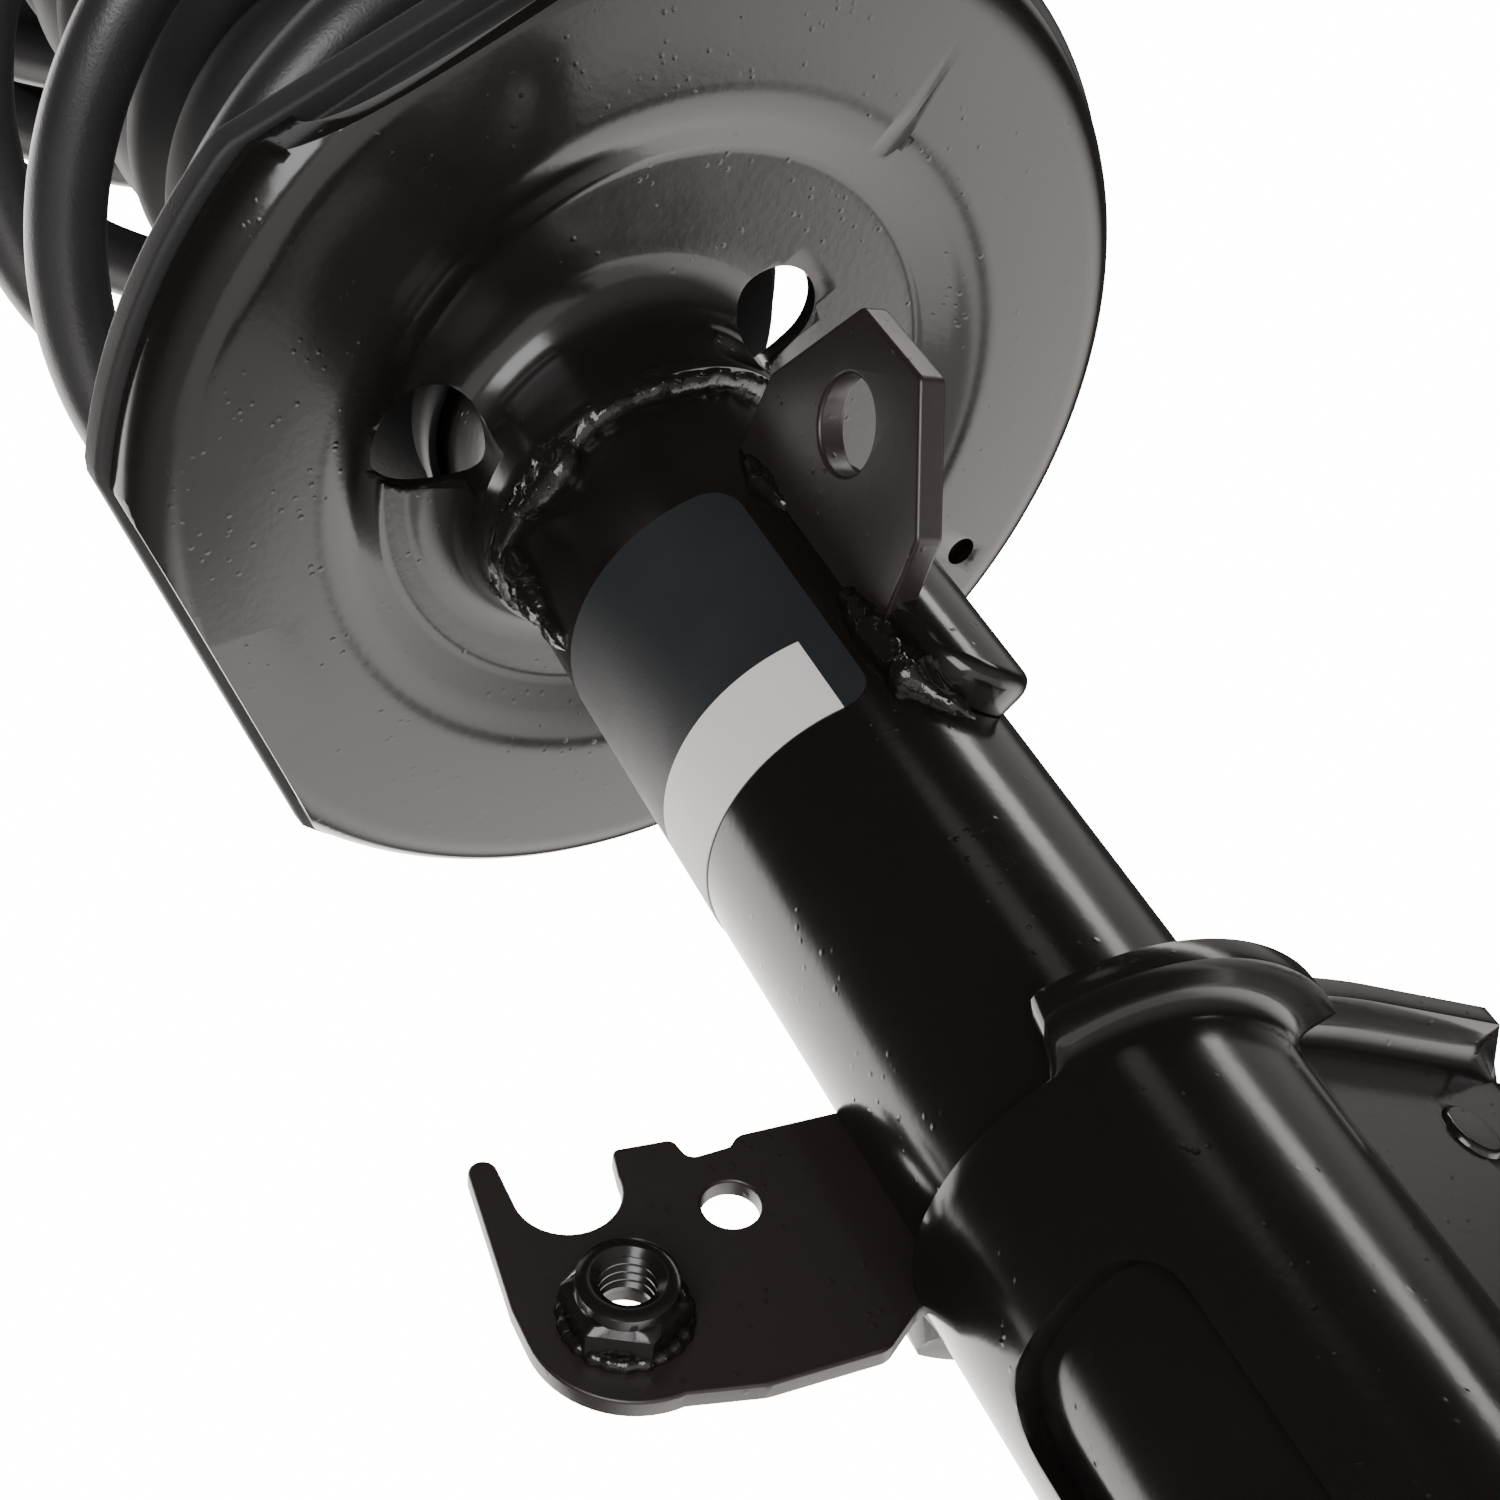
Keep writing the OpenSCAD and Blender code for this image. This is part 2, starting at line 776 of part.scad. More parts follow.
// Outline of the hose bracket's plate, x and y from its plain hole
module hose_outline() {
    heel = tube_r - 4 - hose_reach;
    pad = slot_x - 0.4;
    prong = slot_x + slot_r + 1.7;
    difference() {
        polygon(concat(
            [[heel, 8.5], [-5, 9.5], [-3.5, 8.2], [1.8, 8.2], [2.4, 11.6],
             [slot_x - slot_r - 0.8, 12.6], [slot_x, slot_y]],
            arc(prong, 14.7, 2.6, 150, 0, 8),
            [[29.2, -5]],
            arc(pad, -10, 12.6, 0, -95, 10),
            [[6.6, -24.8], [-8, -25.3], [-14, -21], [heel, -21]]));
        translate([slot_x, slot_y]) circle(r = slot_r);
        translate([slot_x - slot_r, slot_y]) square([2 * slot_r, 20]);
    }
}

module hose_bracket() {
    color("black")
    difference() {
        translate([0, 0, z_hose])
            on_plane(hose_dir, hose_face - hose_t / 2, hose_t)
                translate([hose_reach, 0]) hose_outline();
        tube_space(z_hose);
        translate([0, 0, z_bend - 60 + fit_gap]) cylinder(r = wrap_out + fit_gap, h = 60);
        hose_bore(0, 0, hose_hole_d / 2);
        hose_bore(weld_nut_x, weld_nut_y, nut_thread_d / 2 + 0.3);
    }
}

// Hole through the hose bracket, x and y from its plain hole
module hose_bore(x, y, r) {
    rotate([0, 0, hose_dir])
        translate([hose_reach + x, hose_face + 20, z_hose + y])
            rotate([90, 0, 0]) cylinder(r = r, h = 40, $fn = 48);
}

module hose_weld_nut() {
    af = nut_thread_d * 1.62;
    color("dimgray")
    difference() {
        rotate([0, 0, hose_dir])
            translate([hose_reach + weld_nut_x, hose_face, z_hose + weld_nut_y])
                rotate([-90, 0, 0]) {
                    cylinder(d = af / cos(30), h = weld_nut_h - 2, $fn = 6);
                    cylinder(d = af * 0.98, h = weld_nut_h);
                }
        hose_bore(weld_nut_x, weld_nut_y, nut_thread_d * 0.425);
    }
}

module hose_weld() {
    size = 1.6;
    y = hose_face - hose_t - size;
    x = sqrt((tube_r + 0.472) ^ 2 - y ^ 2);
    color("black")
    difference() {
        rotate([0, 0, hose_dir])
            translate([x, y, z_hose - 18])
                cylinder(r = size, h = 24, $fn = 24);
        tube_space(z_hose);
    }
}

// ---- Knuckle bracket ----

// One side of the bracket, d out from the sheet's inner face: wrap, valley and ear
function side_path(d, start, x_end) = concat(
    arc(0, 0, wrap_in + d, start, valley_a + 1, 24),
    arc(valley_x, valley_y, valley_r + knuckle_t - d, 180 + valley_a + 4, 270, 6),
    [[x_end, ear_in + d]]);

// Keyhole outline, d out from the sheet's inner face
module keyhole(d, x_end) {
    circle(r = wrap_in + d);
    front = concat([polar(wrap_in + d - 3, valley_a)],
        arc(valley_x, valley_y, valley_r + knuckle_t - d, 180 + valley_a + 4, 270, 6),
        [[x_end, ear_in + d]]);
    polygon(concat(front, [for (i = [len(front) - 1:-1:0]) [front[i][0], -front[i][1]]]));
}

// Flat lip of one side, from start degrees behind the ears to the ear's end
module lip(start) {
    translate([0, 0, z_lip - knuckle_t])
        linear_extrude(height = knuckle_t)
            polygon(concat(side_path(knuckle_t + lip_w, start, lip_end),
                reversed(side_path(1, start, lip_end))));
}

module rounded_window() {
    h = knuckle_h - window_top - window_bottom;
    half = window_w / 2 - window_r;
    translate([-half - window_r, window_r]) square([window_w, h - 2 * window_r]);
    translate([-half, 0]) square([2 * half, h]);
    for (x = [-half, half], y = [window_r, h - window_r]) translate([x, y]) circle(r = window_r);
}

module knuckle_bracket() {
    color("black")
    difference() {
        union() {
            translate([0, 0, z_knuckle_end])
                linear_extrude(height = z_lip - z_knuckle_end)
                    keyhole(knuckle_t, ear_end);
            lip(lip_start[0]);
            mirror([0, 1, 0]) lip(lip_start[1]);
            for (side = [-1, 1])
                translate([emboss_x, side * ear_out, z_lip - emboss_drop])
                    rotate([90, 0, 0]) cylinder(r = emboss_r, h = 2 * emboss_h, center = true);
        }
        translate([0, 0, z_knuckle_end - over])
            linear_extrude(height = knuckle_h + 2 * over) keyhole(0, ear_end + over);
        translate([0, 0, z_bend])
            rotate([0, 0, lip_start[0] + over])
                rotate_extrude(angle = 360 - lip_start[0] - lip_start[1] - 2 * over)
                    square([wrap_out + lip_w + 5, knuckle_h]);
        for (z = [z_bolt_top, z_bolt_top - bolt_spacing])
            translate([bolt_reach, 0, z])
                rotate([90, 0, 0]) cylinder(d = bolt_hole_d, h = 80, center = true);
        translate([0, 0, z_knuckle_end + window_bottom])
            rotate([90, 0, -90]) linear_extrude(height = wrap_out + 5) rounded_window();
        translate([ear_end, 0, z_knuckle_end])
            rotate([0, 45, 0]) cube([ear_corner, 80, ear_corner], center = true);
    }
}

module knuckle_weld() {
    size = 2.4;
    color("black")
    for (side = [-1, 1])
        difference() {
            translate([sqrt((tube_r + 1.4) ^ 2 - (ear_in - 1.4) ^ 2), side * (ear_in - 1.4),
                    z_knuckle_end + 6])
                cylinder(r = size, h = knuckle_h - 22, $fn = 32);
            translate([0, 0, z_knuckle_end]) cylinder(r = tube_r + fit_gap, h = knuckle_h);
            translate([0, side * (ear_in - fit_gap) + (side - 1) * 10, z_knuckle_end])
                cube([40, 20, knuckle_h]);
        }
}

module tube_label() {
    color("darkslategray")
    translate([0, 0, z_label])
        rotate([0, 0, label_from])
            rotate_extrude(angle = label_sweep)
                translate([tube_r + 0.01, 0]) square([label_t, label_l]);
}

mount_plate();
mount_lower_plate();
mount_rubber();
mount_core();
mount_studs();
rod_washer();
rod_nut();
bearing_upper_race();
bearing_balls();
bearing_cage();
bearing_lower_race();
upper_spring_seat();
upper_insulator();
coil_spring();
dust_boot();
bump_stop();
piston_rod();
rebound_stop();
piston();
piston_band();
piston_nut();
tube_cap();
rod_seal();
rod_guide();
rod_bushing();
pressure_tube();
base_valve();
strut_tube();
base_cap();
lower_spring_seat();
seat_weld();
lower_insulator();
link_bracket();
link_weld();
hose_bracket();
hose_weld_nut();
hose_weld();
knuckle_bracket();
knuckle_weld();
tube_label();
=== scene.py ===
"""Looks of a suspension strut assembly: smooth meshes, weld beads, finishes, light and camera."""

import json
import logging
import math
from collections.abc import Callable, Sequence
from dataclasses import dataclass
from enum import Enum

import bmesh
import bpy
from mathutils import Matrix, Vector, noise

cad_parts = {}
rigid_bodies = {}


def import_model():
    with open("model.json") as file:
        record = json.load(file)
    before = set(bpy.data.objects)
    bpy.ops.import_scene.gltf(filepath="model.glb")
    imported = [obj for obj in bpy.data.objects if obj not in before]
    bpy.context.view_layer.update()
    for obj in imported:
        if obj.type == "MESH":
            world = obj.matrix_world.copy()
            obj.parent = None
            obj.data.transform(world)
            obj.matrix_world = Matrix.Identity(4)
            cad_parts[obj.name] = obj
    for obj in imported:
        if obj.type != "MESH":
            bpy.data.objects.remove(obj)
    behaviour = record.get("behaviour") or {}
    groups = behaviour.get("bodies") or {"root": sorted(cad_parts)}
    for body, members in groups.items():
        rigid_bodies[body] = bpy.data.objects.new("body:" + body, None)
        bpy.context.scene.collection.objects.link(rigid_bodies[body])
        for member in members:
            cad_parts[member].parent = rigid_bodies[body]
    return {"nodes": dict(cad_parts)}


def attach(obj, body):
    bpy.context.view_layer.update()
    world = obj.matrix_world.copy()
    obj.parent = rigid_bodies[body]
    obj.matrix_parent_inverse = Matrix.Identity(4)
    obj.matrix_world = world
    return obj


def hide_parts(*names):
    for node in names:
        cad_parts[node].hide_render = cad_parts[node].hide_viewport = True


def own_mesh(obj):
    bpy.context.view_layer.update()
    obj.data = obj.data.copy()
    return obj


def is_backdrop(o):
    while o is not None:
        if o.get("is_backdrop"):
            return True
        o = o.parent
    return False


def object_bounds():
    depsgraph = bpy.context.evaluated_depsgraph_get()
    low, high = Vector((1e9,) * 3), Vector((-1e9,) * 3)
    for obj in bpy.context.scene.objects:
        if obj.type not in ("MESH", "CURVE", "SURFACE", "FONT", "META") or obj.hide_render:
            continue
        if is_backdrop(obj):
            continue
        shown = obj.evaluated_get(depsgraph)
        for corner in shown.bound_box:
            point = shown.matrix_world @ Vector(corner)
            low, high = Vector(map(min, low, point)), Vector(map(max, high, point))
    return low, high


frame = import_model()
CAD_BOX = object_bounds()

MM = 0.001
LOG = logging.getLogger("strut")
Point2 = tuple[float, float]
Corner = tuple[float, float, float]


# ---------------------------------------------------------------- shapes

def polar(r: float, angle: float, z: float) -> Vector:
    """Gives the point at radius r, angle degrees and height z, in millimetres."""
    a = math.radians(angle)
    return Vector((r * math.cos(a), r * math.sin(a), z))


def arc(cx: float, cy: float, r: float, start: float, end: float, steps: int) -> list[Point2]:
    """Gives the points of a flat arc.

    Args:
        cx: Centre's first coordinate.
        cy: Centre's second coordinate.
        r: Radius.
        start: First angle in degrees.
        end: Last angle in degrees.
        steps: Number of segments.

    Returns:
        The points from start to end.
    """
    out = []
    for i in range(steps + 1):
        a = math.radians(start + (end - start) * i / steps)
        out.append((cx + r * math.cos(a), cy + r * math.sin(a)))
    return out


def rounded(corners: Sequence[Corner], closed: bool = True, steps: int = 6) -> list[Point2]:
    """Rounds the corners of a flat path.

    Args:
        corners: Points with the radius wanted at each.
        closed: Whether the path joins its start.
        steps: Segments in each rounded corner.

    Returns:
        The rounded path's points.
    """
    out: list[Point2] = []
    count = len(corners)
    for i, (x, y, r) in enumerate(corners):
        if r <= 0 or (not closed and i in (0, count - 1)):
            out.append((x, y))
            continue
        here = Vector((x, y))
        back = Vector(corners[i - 1][:2]) - here
        ahead = Vector(corners[(i + 1) % count][:2]) - here
        half = back.angle(ahead) / 2
        reach = min(r / math.tan(half), 0.48 * back.length, 0.48 * ahead.length)
        radius = reach * math.tan(half)
        u, v = back.normalized(), ahead.normalized()
        centre = here + (u + v).normalized() * (radius / math.sin(half))
        first, last = here + u * reach - centre, here + v * reach - centre
        a0, a1 = math.atan2(first.y, first.x), math.atan2(last.y, last.x)
        sweep = (a1 - a0 + math.pi) % (2 * math.pi) - math.pi
        for k in range(steps + 1):
            a = a0 + sweep * k / steps
            out.append((centre.x + radius * math.cos(a), centre.y + radius * math.sin(a)))
    return out


def beside(path: Sequence[Point2], t: float) -> list[Point2]:
    """Moves an open flat path to its left by t, mitred at its corners."""
    out = []
    last = len(path) - 1
    for i, p in enumerate(path):
        a = Vector(path[min(i, last - 1) + 1]) - Vector(path[min(i, last - 1)])
        b = Vector(path[max(i, 1)]) - Vector(path[max(i, 1) - 1])
        n = Vector((-a.y, a.x)).normalized() + Vector((-b.y, b.x)).normalized()
        n = n * (2 * t / n.length_squared)
        out.append((p[0] + n.x, p[1] + n.y))
    return out


def sheet_section(path: Sequence[Point2], t: float) -> list[Point2]:
    """Closes a path into the section of a sheet t thick on its left, with eased edges."""
    other = beside(path, t)
    ease = 0.3

    def tip(a: Point2, b: Point2, back_a: Point2, back_b: Point2) -> list[Point2]:
        """Eased edge across one end of the sheet, from a to b."""
        va = (Vector(back_a) - Vector(a)).normalized() * ease
        vb = (Vector(back_b) - Vector(b)).normalized() * ease
        across = (Vector(b) - Vector(a)).normalized() * ease
        return [tuple(Vector(a) + va), tuple(Vector(a) + va * 0.3 + across * 0.3),
                tuple(Vector(a) + across), tuple(Vector(b) - across),
                tuple(Vector(b) + vb * 0.3 - across * 0.3), tuple(Vector(b) + vb)]

    end = tip(path[-1], other[-1], path[-2], other[-2])
    start = tip(other[0], path[0], other[1], path[1])
    return list(path[1:-1]) + end + list(reversed(other[1:-1])) + start


class Shape:
    """Collects points and faces in millimetres before they become a Blender object."""

    def __init__(self) -> None:
        """Starts empty."""
        self.points: list[Vector] = []
        self.faces: list[tuple[int, ...]] = []

    def grid(self, rows: Sequence[Sequence[Vector]], around: bool, along: bool,
             caps: bool = False) -> "Shape":
        """Adds a grid of quads.

        Args:
            rows: Rows of points, all the same length.
            around: Whether each row joins its own start.
            along: Whether the last row joins the first.
            caps: Whether the first and last rows are closed with a face.

        Returns:
            This shape.
        """
        base, width, height = len(self.points), len(rows[0]), len(rows)
        for row in rows:
            self.points.extend(Vector(p) for p in row)
        for i in range(height if along else height - 1):
            lo, hi = base + i * width, base + (i + 1) % height * width
            for k in range(width if around else width - 1):
                n = (k + 1) % width
                self.faces.append((lo + k, lo + n, hi + n, hi + k))
        if caps:
            self.faces.append(tuple(base + k for k in reversed(range(width))))
            self.faces.append(tuple(base + (height - 1) * width + k for k in range(width)))
        return self

    def lathe(self, section: Sequence[Point2], segments: int = 160) -> "Shape":
        """Adds a closed section turned about Z.

        Args:
            section: Radius and height of each point, closed.
            segments: Steps round the turn.

        Returns:
            This shape.
        """
        rows = [[polar(r, 360 * i / segments, z) for r, z in section] for i in range(segments)]
        return self.grid(rows, True, True)

    def build(self, name: str, sharp: float = 40, doubles: float = 0.001) -> bpy.types.Object:
        """Makes a Blender object, in metres, with its place in its mesh.

        Args:
            name: Name of the object.
            sharp: Angle in degrees past which an edge stays sharp.
            doubles: Distance in millimetres under which points merge.

        Returns:
            The new object.
        """
        mesh = bpy.data.meshes.new(name)
        mesh.from_pydata([p * MM for p in self.points], [], self.faces)
        body = bpy.data.objects.new(name, mesh)
        bpy.context.scene.collection.objects.link(body)
        tidy(body, sharp, doubles)
        return body


def tidy(body: bpy.types.Object, sharp: float = 40, doubles: float = 0.001) -> None:
    """Merges doubles, turns the faces outwards and sets smooth shading."""
    mesh = body.data
    bm = bmesh.new()
    bm.from_mesh(mesh)
    bmesh.ops.remove_doubles(bm, verts=bm.verts, dist=doubles * MM)
    bmesh.ops.dissolve_degenerate(bm, edges=bm.edges, dist=doubles * MM)
    bmesh.ops.recalc_face_normals(bm, faces=bm.faces)
    bm.to_mesh(mesh)
    bm.free()
    shade(mesh, sharp)


def shade(mesh: bpy.types.Mesh, sharp: float) -> None:
    """Shades a mesh smooth, apart from its sharp edges."""
    mesh.polygons.foreach_set("use_smooth", [True] * len(mesh.polygons))
    mesh.set_sharp_from_angle(angle=math.radians(sharp))
    mesh.update()


def settle(body: bpy.types.Object, sharp: float = 40) -> bpy.types.Object:
    """Turns an object with its modifiers into a plain mesh object of the same name.

    Args:
        body: Object whose modifiers are to be applied.
        sharp: Angle in degrees past which an edge stays sharp.

    Returns:
        The same object, or a new mesh object where it was a curve.
    """
    bpy.context.view_layer.update()
    seen = body.evaluated_get(bpy.context.evaluated_depsgraph_get())
    mesh = bpy.data.meshes.new_from_object(seen)
    name = body.name
    mesh.transform(body.matrix_world)
    if body.type == "MESH":
        body.modifiers.clear()
        body.data = mesh
        body.matrix_world = Matrix.Identity(4)
        plain = body
    else:
        bpy.data.objects.remove(body)
        plain = bpy.data.objects.new(name, mesh)
        bpy.context.scene.collection.objects.link(plain)
    mesh.name = name
    shade(mesh, sharp)
    return plain


def cut(body: bpy.types.Object, cutters: Sequence[bpy.types.Object],
        operation: str = "DIFFERENCE") -> None:
    """Cuts solids out of an object, or joins them on, and removes the cutters."""
    for cutter in cutters:
        boolean = body.modifiers.new("cut", "BOOLEAN")
        boolean.operation = operation
        boolean.solver = "EXACT"
        boolean.object = cutter
    settle(body)
    for cutter in cutters:
        bpy.data.objects.remove(cutter)


def soften(body: bpy.types.Object, width: float, angle: float = 50, steps: int = 2) -> None:
    """Rounds an object's sharp edges by width millimetres."""
    bevel = body.modifiers.new("ease", "BEVEL")
    bevel.width = width * MM
    bevel.segments = steps
    bevel.limit_method = "ANGLE"
    bevel.angle_limit = math.radians(angle)
    bevel.use_clamp_overlap = True
    settle(body)


def round_bar(a: Vector, b: Vector, r: float, sides: int = 64) -> bpy.types.Object:
    """Makes a round bar between two points, used as a cutter."""
    axis = (b - a).normalized()
    u = axis.orthogonal().normalized()
    v = axis.cross(u)
    rows = []
    for end in (a, b):
        rows.append([end + r * (math.cos(t) * u + math.sin(t) * v)
                     for t in (2 * math.pi * k / sides for k in range(sides))])
    return Shape().grid(rows, True, False, caps=True).build("cutter")


def prism(outline: Sequence[Point2], place: Callable[[float, float, float], Vector],
          low: float, high: float) -> bpy.types.Object:
    """Makes a prism on a flat outline, used as a cutter."""
    rows = [[place(x, y, h) for x, y in outline] for h in (low, high)]
    return Shape().grid(rows, True, False, caps=True).build("cutter")


def plate(name: str, outline: Sequence[Point2], holes: Sequence[Sequence[Point2]],
          thickness: float, ease: float, place: Matrix) -> bpy.types.Object:
    """Makes a flat plate with eased edges and holes.

    Args:
        name: Name of the object.
        outline: Outer edge.
        holes: Edge of each hole.
        thickness: Thickness in millimetres.
        ease: Radius of the eased edges.
        place: Puts the plate, lying in XY, into the row frame.

    Returns:
        The plate as a mesh object.
    """
    curve = bpy.data.curves.new(name, "CURVE")
    curve.dimensions = "2D"
    curve.fill_mode = "BOTH"
    curve.extrude = (thickness / 2 - ease) * MM
    curve.bevel_depth = ease * MM
    curve.bevel_resolution = 2
    curve.offset = -ease * MM
    for ring in [outline, *holes]:
        spline = curve.splines.new("POLY")
        spline.points.add(len(ring) - 1)
        for point, (x, y) in zip(spline.points, ring):
            point.co = (x * MM, y * MM, 0, 1)
        spline.use_cyclic_u = True
    body = bpy.data.objects.new(name, curve)
    bpy.context.scene.collection.objects.link(body)
    body.matrix_world = place
    body = settle(body)
    tidy(body, 30)
    even = body.modifiers.new("even", "WEIGHTED_NORMAL")
    even.weight = 100
    even.keep_sharp = True
    return settle(body)


def upright(direction: float, offset: float, z: float) -> Matrix:
    """Frame of an upright bracket plate: X outwards, Y up, Z across the plate."""
    a = math.radians(direction)
    out = Vector((math.cos(a), math.sin(a), 0))
    across = Vector((math.sin(a), -math.cos(a), 0))
    up = Vector((0, 0, 1))
    origin = (-across * offset + up * z) * MM
    turned = Matrix((out, up, across)).transposed().to_4x4()
    turned.translation = origin
    return turned


def circle(x: float, y: float, r: float, steps: int = 48) -> list[Point2]:
    """Points of a full circle."""
    return arc(x, y, r, 0, 360, steps)[:-1]


# ---------------------------------------------------------------- node trees

class NodeTools:
    """Small helpers shared by the shader and geometry trees."""

    @staticmethod
    def add(tree: bpy.types.NodeTree, kind: str, **values: object) -> bpy.types.Node:
        """Adds a node and sets its properties or its inputs by name."""
        node = tree.nodes.new(kind)
        for key, value in values.items():
            if hasattr(node, key):
                setattr(node, key, value)
            else:
                node.inputs[key.replace("_", " ")].default_value = value
        return node

    @staticmethod
    def ends(tree: bpy.types.NodeTree) -> tuple[bpy.types.Node, bpy.types.Node]:
        """Adds the group's input and output nodes."""
        return tree.nodes.new("NodeGroupInput"), tree.nodes.new("NodeGroupOutput")

    @staticmethod
    def math(tree: bpy.types.NodeTree, operation: str, a: object, b: object = 0.0) -> object:
        """Adds a math node on two numbers or sockets and gives its output."""
        node = tree.nodes.new("ShaderNodeMath")
        node.operation = operation
        for socket, value in zip(node.inputs, (a, b)):
            if isinstance(value, (int, float)):
                socket.default_value = value
            else:
                tree.links.new(value, socket)
        return node.outputs[0]


class SweepTree:
    """Sweeps a round section along a curve, with ripples for a weld bead."""

    def __init__(self) -> None:
        """Builds the tree once."""
        tree = bpy.data.node_groups.new("sweep", "GeometryNodeTree")
        face = tree.interface
        face.new_socket("Geometry", in_out="INPUT", socket_type="NodeSocketGeometry")
        self.ids: dict[str, str] = {}
        for name, value in (("Radius", 0.003), ("Step", 0.001), ("Ripple", 0.0),
                            ("Pitch", 0.003), ("Lumps", 0.0), ("Lump Scale", 200.0)):
            socket = face.new_socket(name, in_out="INPUT", socket_type="NodeSocketFloat")
            socket.default_value = value
            self.ids[name] = socket.identifier
        sides = face.new_socket("Sides", in_out="INPUT", socket_type="NodeSocketInt")
        sides.default_value = 16
        self.ids["Sides"] = sides.identifier
        material = face.new_socket("Material", in_out="INPUT", socket_type="NodeSocketMaterial")
        self.ids["Material"] = material.identifier
        face.new_socket("Geometry", in_out="OUTPUT", socket_type="NodeSocketGeometry")
        add, link = NodeTools.add, tree.links.new
        start, end = NodeTools.ends(tree)
        evenly = add(tree, "GeometryNodeResampleCurve", mode="LENGTH")
        link(start.outputs["Geometry"], evenly.inputs["Curve"])
        link(start.outputs["Step"], evenly.inputs["Length"])
        along = add(tree, "GeometryNodeSplineParameter")
        keep = add(tree, "GeometryNodeCaptureAttribute", domain="POINT")
        keep.capture_items.new("FLOAT", "Along")
        link(evenly.outputs["Curve"], keep.inputs["Geometry"])
        link(along.outputs["Length"], keep.inputs["Along"])
        ring = add(tree, "GeometryNodeCurvePrimitiveCircle", mode="RADIUS")
        link(start.outputs["Radius"], ring.inputs["Radius"])
        link(start.outputs["Sides"], ring.inputs["Resolution"])
        tube = add(tree, "GeometryNodeCurveToMesh")
        tube.inputs["Fill Caps"].default_value = True
        link(keep.outputs["Geometry"], tube.inputs["Curve"])
        link(ring.outputs["Curve"], tube.inputs["Profile Curve"])
        turns = NodeTools.math(tree, "DIVIDE", keep.outputs["Along"], start.outputs["Pitch"])
        wave = NodeTools.math(tree, "ABSOLUTE", NodeTools.math(
            tree, "SINE", NodeTools.math(tree, "MULTIPLY", turns, math.pi)))
        swell = NodeTools.math(tree, "MULTIPLY", NodeTools.math(
            tree, "SUBTRACT", wave, 0.6), start.outputs["Ripple"])
        grain = add(tree, "ShaderNodeTexNoise", noise_dimensions="3D")
        link(start.outputs["Lump Scale"], grain.inputs["Scale"])
        lumps = NodeTools.math(tree, "MULTIPLY", NodeTools.math(
            tree, "SUBTRACT", grain.outputs["Fac"], 0.5), start.outputs["Lumps"])
        height = NodeTools.math(tree, "ADD", swell, lumps)
        normal = add(tree, "GeometryNodeInputNormal")
        push = add(tree, "ShaderNodeVectorMath", operation="SCALE")
        link(normal.outputs["Normal"], push.inputs[0])
        link(height, push.inputs["Scale"])
        move = add(tree, "GeometryNodeSetPosition")
        link(tube.outputs["Mesh"], move.inputs["Geometry"])
        link(push.outputs["Vector"], move.inputs["Offset"])
        solid = add(tree, "GeometryNodeRealizeInstances")
        link(move.outputs["Geometry"], solid.inputs["Geometry"])
        paint = add(tree, "GeometryNodeSetMaterial")
        link(solid.outputs["Geometry"], paint.inputs["Geometry"])
        link(start.outputs["Material"], paint.inputs["Material"])
        link(paint.outputs["Geometry"], end.inputs["Geometry"])
        self.tree = tree

    def sweep(self, name: str, path: Sequence[Vector], radius: float, finish: bpy.types.Material,
              step: float = 0.6, ripple: float = 0.0, pitch: float = 3.0, lumps: float = 0.0,
              sides: int = 16, closed: bool = False) -> bpy.types.Object:
        """Makes a round bar or a weld bead along a path.

        Args:
            name: Name of the object.
            path: Points of the path in millimetres.
            radius: Radius of the section.
            finish: Material of the surface.
            step: Distance between rings.
            ripple: Height of the ripples.
            pitch: Distance between ripples.
            lumps: Height of the uneven lumps.
            sides: Sides of the section.
            closed: Whether the path joins its start.

        Returns:
            The finished mesh object.
        """
        curve = bpy.data.curves.new(name, "CURVE")
        curve.dimensions = "3D"
        spline = curve.splines.new("POLY")
        spline.points.add(len(path) - 1)
        for point, p in zip(spline.points, path):
            point.co = (*(Vector(p) * MM), 1)
        spline.use_cyclic_u = closed
        body = bpy.data.objects.new(name, curve)
        bpy.context.scene.collection.objects.link(body)
        nodes = body.modifiers.new("sweep", "NODES")
        nodes.node_group = self.tree
        values = {"Radius": radius * MM, "Step": step * MM, "Ripple": ripple * MM,
                  "Pitch": pitch * MM, "Lumps": lumps * MM, "Sides": sides, "Material": finish}
        for key, value in values.items():
            nodes[self.ids[key]] = value
        body = settle(body)
        tidy(body, 50)
        return body


